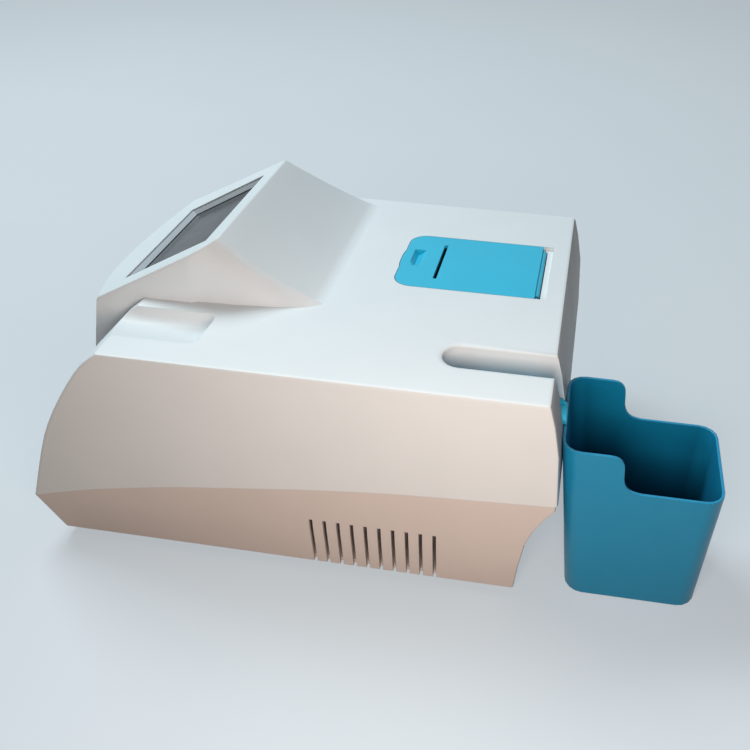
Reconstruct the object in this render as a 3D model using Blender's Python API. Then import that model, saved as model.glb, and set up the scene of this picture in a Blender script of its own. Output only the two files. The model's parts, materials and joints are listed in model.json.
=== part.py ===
"""Urine analyzer: two-part case, tilted display, label printer, strip transport and a free-standing bin."""
import math

import bmesh
import bpy
from mathutils import Matrix, Vector

# Sizes are in metres. X runs across the case, Y from front to rear, Z up from the table.

# Case
BODY_HALF_WIDTH = 0.150
DECK_Z = 0.191
CASE_BOTTOM_Z = 0.008
REAR_Y = 0.130
NOSE_START_Y = -0.191
NOSE_REACH = 0.0825
NOSE_DROP = 0.145
REAR_BULGE = 0.012
REAR_DROP = 0.087
SIDE_DRAFT = 0.003
WALL = 0.003
EDGE_ROUND = 0.003
OVERRUN = 0.020
GAP = 0.0003
SKIN = 0.0004

# Each pair is the share of the nose's reach and the share of its drop
NOSE_SHARES = ((0, 0), (0.164, 0.077), (0.334, 0.199), (0.549, 0.385), (0.717, 0.566), (0.867, 0.787), (1, 1))
REAR_SHARES = ((0, 0), (0.158, 0.0885), (0.367, 0.195), (0.558, 0.333), (0.767, 0.494), (1, 1))
# Each pair is the share of the parting line's length and of its rise
PARTING_SHARES = (
    (0, 0), (0.122, 0.25), (0.22, 0.393), (0.315, 0.518), (0.455, 0.66),
    (0.57, 0.768), (0.714, 0.875), (0.87, 0.946), (1, 1),
)

# Lower shell
LOWER_NOSE_STEP = 0.0004
LOWER_FRONT_Y = NOSE_START_Y - NOSE_REACH + LOWER_NOSE_STEP
LOWER_FOOT_FRONT_Y = -0.2595
LOWER_BEND_Z = DECK_Z - NOSE_DROP
LOWER_NOSE_FLARE = 0.0028
LOWER_FLARE_Y = -0.100
LOWER_TOP_FLARE = 0.0013
LOWER_TOP_HALF_WIDTH = BODY_HALF_WIDTH + LOWER_TOP_FLARE
LOWER_BEND_INSET = 0.0005
LOWER_BEND_HALF_WIDTH = BODY_HALF_WIDTH - LOWER_BEND_INSET
LOWER_FOOT_INSET = 0.004
LOWER_FOOT_HALF_WIDTH = BODY_HALF_WIDTH - LOWER_FOOT_INSET
COVE_TOP_Y = 0.1405
COVE_FOOT_Y = 0.1148
COVE_TOP_Z = 0.098
LOWER_BLOCK_TOP_Z = 0.112
# Each pair is the share of the cove's depth and of its height, from the top down
COVE_SHARES = ((0.28, 0.11), (0.556, 0.255), (0.77, 0.43), (0.91, 0.72), (1, 1))
VENT_COUNT = 10
VENT_WIDTH = 0.0028
VENT_PITCH = 0.01076
VENT_START_Y = -0.0445
VENT_TOP_Z = 0.057
VENT_REACH = 0.0055

# Display housing
HOUSING_NEAR_INSET = 0.0805
HOUSING_NEAR_X = BODY_HALF_WIDTH - HOUSING_NEAR_INSET
HOUSING_NEAR_FLARE = 0.0008
HOUSING_NEAR_FOOT_X = HOUSING_NEAR_X + HOUSING_NEAR_FLARE
HOUSING_FAR_INSET = 0.032
HOUSING_FAR_X = HOUSING_FAR_INSET - BODY_HALF_WIDTH
HOUSING_RIDGE_FAR_INSET = 0.048
HOUSING_RIDGE_FAR_X = HOUSING_RIDGE_FAR_INSET - BODY_HALF_WIDTH
HOUSING_FOOT_NEAR_INSET = 0.098
HOUSING_FOOT_NEAR_X = BODY_HALF_WIDTH - HOUSING_FOOT_NEAR_INSET
HOUSING_FOOT_FAR_INSET = 0.018
HOUSING_FOOT_FAR_X = HOUSING_FOOT_FAR_INSET - BODY_HALF_WIDTH
HOUSING_NOSE_FAR_INSET = 0.024
HOUSING_NOSE_FAR_X = HOUSING_NOSE_FAR_INSET - BODY_HALF_WIDTH
HOUSING_CORNER = 0.018
FACE_OVERHANG = 0.041
FACE_FRONT_Y = NOSE_START_Y - FACE_OVERHANG
FACE_FRONT_Z = 0.1862
FACE_TILT = math.radians(29)
FACE_BOW = 0.023
FACE_RUN = 0.1005
RIDGE_Y = FACE_FRONT_Y + FACE_RUN
HOUSING_SLOPE_RUN = 0.0785
HOUSING_FOOT_Y = RIDGE_Y + HOUSING_SLOPE_RUN
FRONT_FOOT_DROP = 0.100
BOW_FOOT_DROP = 0.028
HOUSING_EMBED = 0.005
HOUSING_ROUND = 0.0022
HOUSING_WALL = 0.0035
SLOPE_POWER = 1.2
FLARE_POWER = 1.15
RING_SHARES = (0, 0.12, 0.25, 0.4, 0.55, 0.7, 0.85, 1)
NEAR_WALL_SHARES = (0, 0.22, 0.42, 0.7, 0.95)
# Each pair is the share of the corner foot's run across and along the deck
CORNER_SHARES = ((0, 0), (0.07, 0.31), (0.25, 0.655), (0.56, 0.885), (1, 1))
RIDGE_COLUMNS = 4
FRONT_COLUMNS = 10
FAN_X = -0.020
FAN_DROP = 0.041
FAN_CENTRE = (FAN_X, RIDGE_Y - HOUSING_CORNER, DECK_Z - FAN_DROP)

# Display opening in the tilted face: its margins are level, its height runs along the slope
SCREEN_NEAR_MARGIN = 0.0180
SCREEN_FAR_MARGIN = 0.0235
SCREEN_FRONT_MARGIN = 0.0166
SCREEN_REAR_MARGIN = 0.0113
SCREEN_X = (HOUSING_RIDGE_FAR_X + SCREEN_FAR_MARGIN, HOUSING_NEAR_X - SCREEN_NEAR_MARGIN)
SCREEN_Y = (FACE_FRONT_Y + SCREEN_FRONT_MARGIN, RIDGE_Y - SCREEN_REAR_MARGIN)
SCREEN_WIDTH = SCREEN_X[1] - SCREEN_X[0]
SCREEN_HEIGHT = (SCREEN_Y[1] - SCREEN_Y[0]) / math.cos(FACE_TILT)
GASKET_TOP = 0.0002
GASKET_RIM = 0.0016
GASKET_STEP = 0.0006
GASKET_LIP = 0.0050
GASKET_SLOPE = 0.0036
GASKET_FLANGE = 0.004
GASKET_BASE = 0.0046
GASKET_FIT = 0.0003
GLASS_MARGIN = 0.003
GLASS_THICKNESS = 0.0018
DISPLAY_THICKNESS = 0.0065
DISPLAY_BACK_SHARES = (0.8, 0.7)
PAN_MARGIN = 0.0056
PAN_SHEET = 0.0012
PAN_WINDOW_SHARES = (0.5, 0.4)

# Front recess for the fingers
POCKET_FAR_INSET = 0.0675
POCKET_FAR_X = BODY_HALF_WIDTH - POCKET_FAR_INSET
POCKET_NEAR_INSET = 0.025
POCKET_NEAR_X = BODY_HALF_WIDTH - POCKET_NEAR_INSET
POCKET_REAR_Y = -0.127
POCKET_FRONT_Y = -0.236
POCKET_DEPTH = 0.014
POCKET_NEAR_DEPTH = 0.0006
POCKET_CORNER = 0.008
POCKET_FLOOR_Z = 0.1738
POCKET_BLEND = 0.016
# Each pair is the share of the wall's run and of the depth reached there
POCKET_SHARES = ((0, 0), (0.05, 0.28), (0.15, 0.51), (0.3, 0.71), (0.5, 0.87), (0.74, 0.965), (1, 1))

# Strip lane and the deep notch over its rear end
LANE_INSET = 0.0490
LANE_X = BODY_HALF_WIDTH - LANE_INSET
NOTCH_RADIUS = 0.01335
NOTCH_END_Y = 0.0485
NOTCH_WALL = 0.0028
NOTCH_BOTTOM_Z = 0.147
NOTCH_LIP_RUN = 0.0048
NOTCH_LIP_DROP = 0.0024
# Each pair is the share of the lip's run and of its drop
NOTCH_LIP_SHARES = ((0, 1), (0.06, 0.66), (0.2, 0.42), (0.45, 0.22), (1, 0))
INLET_HALF_WIDTH = 0.014
INLET_BOTTOM_Z = 0.1465
INLET_TOP_Z = 0.159
INLET_REAR_Y = -0.205

# Printer cover and the opening under it
COVER_NEAR_X = 0.0102
COVER_FAR_X = -0.0808
COVER_FRONT_Y = -0.0098
COVER_REAR_Y = 0.1058
COVER_THICKNESS = 0.003
COVER_CORNER = 0.015
COVER_GAP = 0.0005
COVER_TAB_WIDTH = 0.027
COVER_TAB_REACH = 0.0012
COVER_RECESS_REAR_Y = 0.1148
PRINTER_CENTRE_X = -0.036
OPENING_HALF_WIDTH = 0.042
OPENING_FRONT_Y = -0.0048
OPENING_REAR_Y = 0.1101
FRAME_MARGIN = 0.0075
FRAME_BOTTOM_Z = 0.183
HINGE_Y = 0.1069
HINGE_Z = 0.1873
HINGE_PIN_RADIUS = 0.00125
HINGE_BARREL_RADIUS = 0.0024
HINGE_FIT = 0.0002
PAPER_SLOT_Y = 0.0224
PAPER_SLOT_LENGTH = 0.0605
PAPER_SLOT_WIDTH = 0.003
PULL_X = -0.0390
PULL_FRONT_Y = -0.0030
PULL_REACH = 0.0105
PULL_DEPTH = 0.0044
PULL_HALF_WIDTH = 0.0145
PULL_CUP_WALL = 0.0012
# Each pair is the share of the finger pull's reach and of its depth, from the front
PULL_SHARES = ((0, 0), (0.34, 1), (0.46, 0.92), (0.6, 0.7), (0.78, 0.34), (0.9, 0.1), (1, 0.02))
# Each pair is the share of the finger pull's width and of its depth, from the far end
PULL_END_SHARES = ((0, 1), (0.6, 0.98), (0.75, 0.84), (0.88, 0.5), (1, 0.06))

# Case screws and the columns that they join
COLUMN_INSET = 0.012
COLUMN_X = BODY_HALF_WIDTH - COLUMN_INSET
COLUMN_FRONT_Y = -0.150
COLUMN_REAR_Y = 0.095
COLUMN_JOINT_Z = 0.060
COLUMN_RADIUS = 0.0055
SCREW_RADIUS = 0.0016
SCREW_HEAD_RADIUS = 0.0031
SCREW_HEAD_HEIGHT = 0.0022
SCREW_SLOT_SHARES = (0.7, 0.16)
SCREW_SEAT_Z = 0.050
SCREW_TIP_Z = 0.070
COUNTERBORE_RADIUS = 0.0036
SCREW_FIT = 0.0002

# Bin
BIN_HIGH_Z = 0.1485
BIN_LOW_Z = 0.1155
BIN_FOOT_FAR_REACH = 0.0455
BIN_FOOT_NEAR_REACH = 0.0340
BIN_FOOT_X = (LANE_X - BIN_FOOT_FAR_REACH, LANE_X + BIN_FOOT_NEAR_REACH)
BIN_FOOT_Y = (0.1544, 0.2560)
BIN_RIM_FAR_REACH = 0.0528
BIN_RIM_NEAR_REACH = 0.0410
BIN_RIM_X = (LANE_X - BIN_RIM_FAR_REACH, LANE_X + BIN_RIM_NEAR_REACH)
BIN_RIM_Y = (0.1396, 0.2598)
BIN_WALL = 0.0022
BIN_FLOOR = 0.0026
BIN_CORNER = 0.014
BIN_FOOT_ROUND = 0.002
BIN_STEP_Y = 0.1735
BIN_STEP_RUN = 0.0265
# Each pair is the share of the rim step's run and of its drop
BIN_STEP_SHARES = (
    (0, 0), (0.18, 0.02), (0.32, 0.09), (0.41, 0.22), (0.44, 0.42),
    (0.47, 0.66), (0.57, 0.85), (0.74, 0.955), (1, 1),
)

# Strip transport under the deck
CHASSIS_TOP_Z = 0.1492
CHASSIS_SHEET = 0.002
CHASSIS_FAR_INSET = 0.110
CHASSIS_FAR_X = BODY_HALF_WIDTH - CHASSIS_FAR_INSET
CHASSIS_NEAR_INSET = 0.020
CHASSIS_NEAR_X = BODY_HALF_WIDTH - CHASSIS_NEAR_INSET
CHASSIS_EAR_INSET = 0.0105
CHASSIS_EAR_X = BODY_HALF_WIDTH - CHASSIS_EAR_INSET
CHASSIS_EAR_MARGIN = 0.0024
CHASSIS_FRONT_Y = -0.2055
CHASSIS_REAR_Y = 0.036
HANGER_RADIUS = 0.004
HANGER_NEAR_INSET = 0.016
HANGER_NEAR_X = BODY_HALF_WIDTH - HANGER_NEAR_INSET
HANGER_FAR_INSET = 0.102
HANGER_FAR_X = BODY_HALF_WIDTH - HANGER_FAR_INSET
HANGER_FRONT_Y = -0.184
HANGER_REAR_Y = 0.027
HANGER_MIDDLE_Y = -0.0475
HANGER_HOLE_DEPTH = 0.008
RAIL_HALF_WIDTH = 0.012
RAIL_FLOOR = 0.002
RAIL_SIDE = 0.0018
RAIL_HEIGHT = 0.0055
RAIL_FRONT_Y = -0.2185
RAIL_REAR_Y = 0.1415
RAIL_END_FALL = 0.0007
TILE_Y = 0.003
TILE_HALF_WIDTH = 0.0045
TILE_HALF_LENGTH = 0.005
TILE_THICKNESS = 0.0009
ROD_OFFSET = 0.0195
ROD_Z = 0.1635
ROD_RADIUS = 0.0025
ROD_FIT = 0.0002
BLOCK_HALF_WIDTH = 0.0265
BLOCK_LENGTH = 0.008
BLOCK_TOP_Z = 0.1685
BLOCK_FRONT_Y = -0.203
BLOCK_REAR_Y = -0.036
LANE_HALF_WIDTH = 0.0135
LANE_TOP_Z = 0.1575
PUSHER_Y = -0.1735
PUSHER_LENGTH = 0.022
PUSHER_HALF_WIDTH = 0.0255
PUSHER_BOTTOM_Z = 0.1582
PUSHER_TOP_Z = 0.170
PUSHER_BLADE_HALF = 0.0092
PUSHER_BLADE_LENGTH = 0.006
PUSHER_BLADE_Z = 0.1525
PUSHER_LUG_INSET = 0.0848
PUSHER_LUG_X = BODY_HALF_WIDTH - PUSHER_LUG_INSET
PUSHER_LUG_TOP_Z = 0.1682
BELT_INSET = 0.088
BELT_X = BODY_HALF_WIDTH - BELT_INSET
BELT_RADIUS = 0.006
BELT_THICKNESS = 0.001
BELT_BOTTOM_Z = 0.160
BELT_TOP_Z = 0.166
BELT_FIT = 0.0003
PULLEY_FRONT_Y = -0.194
PULLEY_REAR_Y = -0.022
PULLEY_FLANGE_RADIUS = 0.0078
PULLEY_FLANGE = 0.0012
PULLEY_FIT = 0.0002
PIN_RADIUS = 0.002
PIN_COLLAR_RADIUS = 0.0036
PIN_CAP = 0.0012
SHAFT_RADIUS = 0.0025
MOTOR_SIDE = 0.035
MOTOR_HEIGHT = 0.028
MOTOR_CORNER = 0.004
MOTOR_BOSS_RADIUS = 0.008
MOTOR_BOSS_HEIGHT = 0.0016
HEAD_FRONT_Y = -0.020
HEAD_REAR_Y = 0.026
HEAD_HALF_WIDTH = 0.0185
HEAD_TOP_Z = 0.178
HEAD_EYE_RADIUS = 0.004
BOARD_THICKNESS = 0.0016
BOARD_MARGIN = 0.003
CHIP_HEIGHT = 0.0016
# Each chip's centre across and along its board, then its half width and half length
SENSOR_CHIP_SHARES = ((0.5, 0.5, 0.16, 0.12), (0.3, 0.85, 0.12, 0.05))
MAIN_CHIP_SHARES = (
    (0.45, 0.55, 0.09, 0.08), (0.72, 0.4, 0.06, 0.07), (0.25, 0.3, 0.08, 0.05), (0.5, 0.92, 0.3, 0.03),
)

# Label printer
BAY_HALF_WIDTH = 0.040
BAY_WALL = 0.002
BAY_FRONT_Y = -0.009
BAY_STEP_Z = 0.150
BAY_FLANGE_MARGIN = 0.008
ROLL_Y = 0.062
ROLL_Z = 0.150
ROLL_RADIUS = 0.024
ROLL_BORE = 0.0059
ROLL_HALF_WIDTH = 0.0285
TROUGH_RADIUS = 0.028
SPINDLE_RADIUS = 0.003
SPINDLE_DRUM_RADIUS = 0.0054
PLATEN_Y = 0.013
PLATEN_Z = 0.171
PLATEN_RADIUS = 0.005
PLATEN_HALF_LENGTH = 0.030
PLATEN_SHAFT_RADIUS = 0.002
CHEEK_OFFSET = 0.0318
CHEEK_SHEET = 0.0012
CHEEK_FRONT_Y = -0.0075
CHEEK_REAR_Y = 0.026
CHEEK_TOP_Z = 0.1785
PRINTHEAD_FRONT_Y = 0.0186
PRINTHEAD_REAR_Y = 0.0212
PRINTHEAD_BOTTOM_Z = 0.164
PRINTHEAD_TOP_Z = 0.1765
GEAR_MODULE = 0.0008
GEAR_TEETH = 24
PINION_TEETH = 12
GEAR_WIDTH = 0.0036
GEAR_BACKLASH = 0.00012
PINION_DROP_ANGLE = math.radians(236)
PRINTER_MOTOR_RADIUS = 0.0068
PRINTER_MOTOR_LENGTH = 0.023
PINION_SHAFT_RADIUS = 0.001

# Electronics and ports
MAIN_BOARD_INSET = 0.032
MAIN_BOARD_WIDTH = 0.128
MAIN_BOARD_NEAR_X = BODY_HALF_WIDTH - MAIN_BOARD_INSET
MAIN_BOARD_X = (MAIN_BOARD_NEAR_X - MAIN_BOARD_WIDTH, MAIN_BOARD_NEAR_X)
MAIN_BOARD_Y = (-0.205, -0.075)
STANDOFF_RADIUS = 0.003
STANDOFF_TOP_Z = 0.020
STANDOFF_MARGIN = 0.008
SUPPLY_INSET = 0.042
SUPPLY_WIDTH = 0.088
SUPPLY_FAR_X = SUPPLY_INSET - BODY_HALF_WIDTH
SUPPLY_X = (SUPPLY_FAR_X, SUPPLY_FAR_X + SUPPLY_WIDTH)
SUPPLY_Y = (-0.050, 0.082)
SUPPLY_HEIGHT = 0.034
PORT_FACE_INSET = 0.0045
PORT_FACE_X = PORT_FACE_INSET - BODY_HALF_WIDTH
PORT_PANEL = 0.003
PORT_PANEL_Y = (-0.074, 0.078)
PORT_PANEL_Z = (0.022, 0.068)
PORT_Z = 0.045
PORT_FLANGE = 0.0016
PORT_SEAT = 0.0002
PORT_BODY_DEPTH = 0.018
PORT_LIP = 0.002
PORT_CLEARANCE = 0.00025
INLET_PORT_Y = 0.055
INLET_PORT_HALF = (0.0135, 0.0100)
INLET_BLADE_SHARES = ((-0.5, -0.15), (0, 0.25), (0.5, -0.15))
SWITCH_Y = 0.016
SWITCH_HALF = (0.0118, 0.0082)
SERIAL_Y = -0.022
SERIAL_HALF = (0.0095, 0.0055)
USB_Y = -0.055
USB_HALF = (0.0065, 0.0060)
ROCKER_AXIS_RISE = 0.0003
ROCKER_AXIS_X = PORT_FACE_X - ROCKER_AXIS_RISE
ROCKER_HALF_LENGTH = 0.0088
ROCKER_HALF_WIDTH = 0.0055
ROCKER_RISE = 0.003
ROCKER_WELL_DEPTH = 0.010
ROCKER_WELL_FIT = 0.0009
ROCKER_PIVOT_RADIUS = 0.0011
ROCKER_TILT = math.radians(10)
# Each pair is the share of the rocker's rise and of its half length
ROCKER_SHARES = ((1, -1), (0.4, 0), (1, 1), (-0.9, 0.75), (-1.5, 0), (-0.9, -0.75))

# Feet
FOOT_RADIUS = 0.009
FOOT_TIP_RADIUS = 0.0076
FOOT_INSET = 0.031
FOOT_X = BODY_HALF_WIDTH - FOOT_INSET
FOOT_FRONT_Y = -0.232
FOOT_REAR_Y = 0.088
FOOT_STEM_RADIUS = 0.0028
FOOT_STEM_TOP_Z = 0.0125


def clear_scene():
    for obj in list(bpy.data.objects):
        bpy.data.objects.remove(obj, do_unlink=True)


def paint(obj, colour, roughness, metallic=0.0):
    """Give the object its own material."""
    material = bpy.data.materials.new(obj.name + "_finish")
    material.use_nodes = True
    shader = material.node_tree.nodes["Principled BSDF"]
    shader.inputs["Base Color"].default_value = (*colour, 1.0)
    shader.inputs["Roughness"].default_value = roughness
    shader.inputs["Metallic"].default_value = metallic
    obj.data.materials.clear()
    obj.data.materials.append(material)
    return obj


def add_object(name, bm):
    """Turn the mesh under construction into an object in the scene."""
    bmesh.ops.recalc_face_normals(bm, faces=bm.faces)
    mesh = bpy.data.meshes.new(name)
    bm.to_mesh(mesh)
    bm.free()
    obj = bpy.data.objects.new(name, mesh)
    bpy.context.scene.collection.objects.link(obj)
    return obj


def loft(name, rings, fan=None):
    """Solid through rings of equal point count, its first end closed as a fan where a centre is given."""
    bm = bmesh.new()
    rows = [[bm.verts.new(point) for point in ring] for ring in rings]
    count = len(rows[0])
    for low, high in zip(rows, rows[1:]):
        for i in range(count):
            j = (i + 1) % count
            bm.faces.new((low[i], low[j], high[j], high[i]))
    if fan is None:
        bm.faces.new(rows[0])
    else:
        centre = bm.verts.new(fan)
        for i in range(count):
            bm.faces.new((rows[0][i], rows[0][(i + 1) % count], centre))
    bm.faces.new(rows[-1])
    return add_object(name, bm)


def prism(name, outline, bottom, top):
    """Upright solid over an outline of (x, y) points."""
    return loft(name, [[(x, y, z) for x, y in outline] for z in (bottom, top)])


def profile_bar(name, profile, start_x, end_x):
    """Solid along X with a profile of (y, z) points."""
    return loft(name, [[(x, y, z) for y, z in profile] for x in (start_x, end_x)])


def box(name, x_range, y_range, z_range):
    (west, east), (south, north) = x_range, y_range
    return prism(name, [(west, south), (east, south), (east, north), (west, north)], *z_range)


def around(centre, half):
    """The range that reaches equally far to both sides of a centre."""
    return (centre - half, centre + half)


def circle(centre, radius, count, start=0.0, sweep=math.tau):
    """Points on a full circle, or on an arc with both of its ends."""
    steps = count if sweep == math.tau else count - 1
    angles = [start + sweep * k / steps for k in range(count)]
    return [(centre[0] + radius * math.cos(a), centre[1] + radius * math.sin(a)) for a in angles]


def rounded_rectangle(x_range, y_range, radius, count=5):
    """Outline of (x, y) points that turns its corners in arcs."""
    (west, east), (south, north) = x_range, y_range
    quarter = math.pi / 2
    outline = circle((west + radius, south + radius), radius, count, -2 * quarter, quarter)
    outline += circle((east - radius, south + radius), radius, count, -quarter, quarter)
    outline += circle((east - radius, north - radius), radius, count, 0.0, quarter)
    outline += circle((west + radius, north - radius), radius, count, quarter, quarter)
    return outline


def upright_pin(name, centre, radius, z_range, count=24):
    return prism(name, circle(centre, radius, count), *z_range)


def cross_pin(name, centre, radius, x_range, count=20):
    """Round bar along X about a (y, z) centre."""
    return profile_bar(name, circle(centre, radius, count), *x_range)


def length_pin(name, centre, radius, y_range, count=20):
    """Round bar along Y about an (x, z) centre."""
    ring = circle(centre, radius, count)
    return loft(name, [[(x, y, z) for x, z in ring] for y in y_range])


def curve_value(p, q, r, s, t):
    """Value between q and r on a smooth curve through the four values."""
    square = 2 * p - 5 * q + 4 * r - s
    cube = 3 * q - p - 3 * r + s
    return (2 * q + (r - p) * t + square * t ** 2 + cube * t ** 3) / 2


def smooth_line(points, steps):
    """Rounded line that passes through all the given points."""
    ends = [points[0]] + list(points) + [points[-1]]
    line = []
    for a, b, c, d in zip(ends, ends[1:], ends[2:], ends[3:]):
        for k in range(steps):
            line.append(tuple(curve_value(*values, k / steps) for values in zip(a, b, c, d)))
    line.append(tuple(points[-1]))
    return line


def inset_outline(outline, distance):
    """Outline of a solid moved inwards by a wall's thickness."""
    area = sum(a[0] * b[1] - b[0] * a[1] for a, b in zip(outline, outline[1:] + outline[:1]))
    turn = 1 if area > 0 else -1
    moved = []
    for before, here, after in zip(outline[-1:] + outline[:-1], outline, outline[1:] + outline[:1]):
        first = (Vector(here) - Vector(before)).normalized()
        second = (Vector(after) - Vector(here)).normalized()
        first_in = Vector((-first.y, first.x)) * turn
        second_in = Vector((-second.y, second.x)) * turn
        mitre = (first_in + second_in) / (1 + first_in.dot(second_in))
        moved.append(tuple(Vector(here) + mitre * distance))
    return moved


def combine(target, tool, operation):
    """Apply a Boolean to the target and take the tool away."""
    modifier = target.modifiers.new(operation.lower(), "BOOLEAN")
    modifier.operation = operation
    modifier.solver = "EXACT"
    modifier.object = tool
    bpy.context.view_layer.update()
    result = target.evaluated_get(bpy.context.evaluated_depsgraph_get())
    mesh = bpy.data.meshes.new_from_object(result)
    mesh.name = target.name
    target.modifiers.clear()
    target.data = mesh
    bpy.data.objects.remove(tool, do_unlink=True)
    return target


def cut(target, *tools):
    for tool in tools:
        combine(target, tool, "DIFFERENCE")
    return target


def join(target, *tools):
    for tool in tools:
        combine(target, tool, "UNION")
    return target


def move_mesh(obj, matrix):
    obj.data.transform(matrix)
    return obj


def round_edges(obj, radius, segments, chosen):
    """Round the edges that the test picks."""
    bm = bmesh.new()
    bm.from_mesh(obj.data)
    edges = [edge for edge in bm.edges if chosen(edge)]
    bmesh.ops.bevel(
        bm, geom=edges, offset=radius, offset_type="OFFSET", segments=segments, profile=0.5,
        affect="EDGES", clamp_overlap=True,
    )
    bm.to_mesh(obj.data)
    bm.free()
    return obj


def in_triangles(obj):
    """Split every face in triangles, so that twisted faces have one exact shape."""
    bm = bmesh.new()
    bm.from_mesh(obj.data)
    bmesh.ops.triangulate(bm, faces=bm.faces)
    bm.to_mesh(obj.data)
    bm.free()
    return obj


def shade_round(obj, angle=math.radians(35)):
    """Smooth shading with sharp edges where the surface turns."""
    obj.data.shade_smooth()
    obj.data.set_sharp_from_angle(angle=angle)
    return obj


def case_half_width(z):
    """Half width of the upper case, which widens downwards."""
    return BODY_HALF_WIDTH + SIDE_DRAFT * (DECK_Z - z) / NOSE_DROP


def nose_line():
    points = [(NOSE_START_Y - reach * NOSE_REACH, DECK_Z - drop * NOSE_DROP) for reach, drop in NOSE_SHARES]
    return smooth_line(points, 2)


def nose_y(z):
    """Where the front's curve lies at a height."""
    line = nose_line()
    for (high_y, high_z), (low_y, low_z) in zip(line, line[1:]):
        if low_z <= z <= high_z:
            return high_y + (low_y - high_y) * (high_z - z) / (high_z - low_z)
    return line[-1][0]


def case_profile():
    """Side outline of the upper case as (y, z) points, from the rear bottom over the deck to the front."""
    rear = [(REAR_Y + out * REAR_BULGE, DECK_Z - drop * REAR_DROP) for out, drop in reversed(REAR_SHARES)]
    nose = nose_line()
    bottom = nose[-1][1] - OVERRUN
    return [(rear[0][0], bottom)] + rear + nose + [(nose[-1][0], bottom)]


def case_block(name, profile, inset):
    """Solid between the two drafted sides."""
    rings = []
    for side in (-1, 1):
        rings.append([(side * (case_half_width(z) - inset), y, z) for y, z in profile])
    return loft(name, rings)


def parting_line():
    front = NOSE_START_Y - NOSE_REACH
    length = REAR_Y + REAR_BULGE - front
    bottom = DECK_Z - NOSE_DROP
    rise = NOSE_DROP - REAR_DROP
    points = [(front + along * length, bottom + up * rise) for along, up in PARTING_SHARES]
    return smooth_line(points, 2)


def parting_cutter(name, offset, above):
    """Block over or under the curved parting line."""
    line = [(y, z + offset) for y, z in parting_line()]
    line = [(line[0][0] - OVERRUN, line[0][1])] + line + [(line[-1][0] + OVERRUN, line[-1][1])]
    far_z = DECK_Z + OVERRUN if above else -OVERRUN
    profile = line + [(line[-1][0], far_z), (line[0][0], far_z)]
    reach = BODY_HALF_WIDTH + OVERRUN
    return profile_bar(name, profile, -reach, reach)


def face_z(y):
    """Height of the tilted display face."""
    return FACE_FRONT_Z + math.tan(FACE_TILT) * (y - FACE_FRONT_Y)


def wall_foot(x, y):
    """Foot of a housing wall, on the deck or on the front's curve."""
    if y >= NOSE_START_Y:
        return (x, y, DECK_Z - SKIN)
    share = (NOSE_START_Y - y) / (NOSE_START_Y - FACE_FRONT_Y)
    z = DECK_Z - SKIN - share * FRONT_FOOT_DROP
    return (x, nose_y(z) + share * WALL, z)


def near_columns():
    """Near wall of the housing, from its front edge to the rounded corner."""
    columns = []
    last_y = RIDGE_Y - HOUSING_CORNER
    for share in NEAR_WALL_SHARES:
        y = FACE_FRONT_Y + share * (last_y - FACE_FRONT_Y)
        foot = wall_foot(HOUSING_NEAR_FOOT_X, y)
        inward = (-1, 1) if share == 0 else (-1, 0)
        columns.append(((HOUSING_NEAR_X, y), foot, inward, 1, 1))
    return columns


def corner_columns():
    """Rounded rear corner of the near wall, whose foot sweeps out over the deck."""
    columns = []
    centre = (HOUSING_NEAR_X - HOUSING_CORNER, RIDGE_Y - HOUSING_CORNER)
    start_x, start_y = HOUSING_NEAR_FOOT_X - WALL, centre[1]
    for k, (across, along) in enumerate(CORNER_SHARES):
        angle = math.pi / 2 * k / (len(CORNER_SHARES) - 1)
        top = (centre[0] + HOUSING_CORNER * math.cos(angle), centre[1] + HOUSING_CORNER * math.sin(angle))
        x = start_x + across * (HOUSING_FOOT_NEAR_X - start_x)
        y = start_y + along * (HOUSING_FOOT_Y - start_y)
        inward = (-math.cos(angle), -math.sin(angle))
        columns.append((top, (x, y, DECK_Z - SKIN), inward, SLOPE_POWER, 1))
    return columns


def ridge_columns():
    """Concave slope behind the ridge, up to its far corner."""
    columns = []
    start = HOUSING_NEAR_X - HOUSING_CORNER
    for k in range(1, RIDGE_COLUMNS + 1):
        share = k / RIDGE_COLUMNS
        x = start + share * (HOUSING_RIDGE_FAR_X - start)
        foot_x = HOUSING_FOOT_NEAR_X + share * (HOUSING_FOOT_FAR_X - HOUSING_FOOT_NEAR_X)
        inward = (1, -1) if k == RIDGE_COLUMNS else (0, -1)
        foot = (foot_x, HOUSING_FOOT_Y, DECK_Z - SKIN)
        columns.append(((x, RIDGE_Y), foot, inward, SLOPE_POWER, FLARE_POWER))
    return columns


def far_columns():
    """Far wall, which leans outwards to its foot."""
    columns = []
    for share in reversed(NEAR_WALL_SHARES[:-1]):
        y = FACE_FRONT_Y + share * (RIDGE_Y - FACE_FRONT_Y)
        top_x = HOUSING_FAR_X + share * (HOUSING_RIDGE_FAR_X - HOUSING_FAR_X)
        foot_x = HOUSING_NOSE_FAR_X + share * (HOUSING_FOOT_FAR_X - HOUSING_NOSE_FAR_X)
        foot_y = y if y < NOSE_START_Y else y + share * (HOUSING_FOOT_Y - RIDGE_Y)
        inward = (1, 1) if share == 0 else (1, 0)
        columns.append(((top_x, y), wall_foot(foot_x, foot_y), inward, 1, 1))
    return columns


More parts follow.
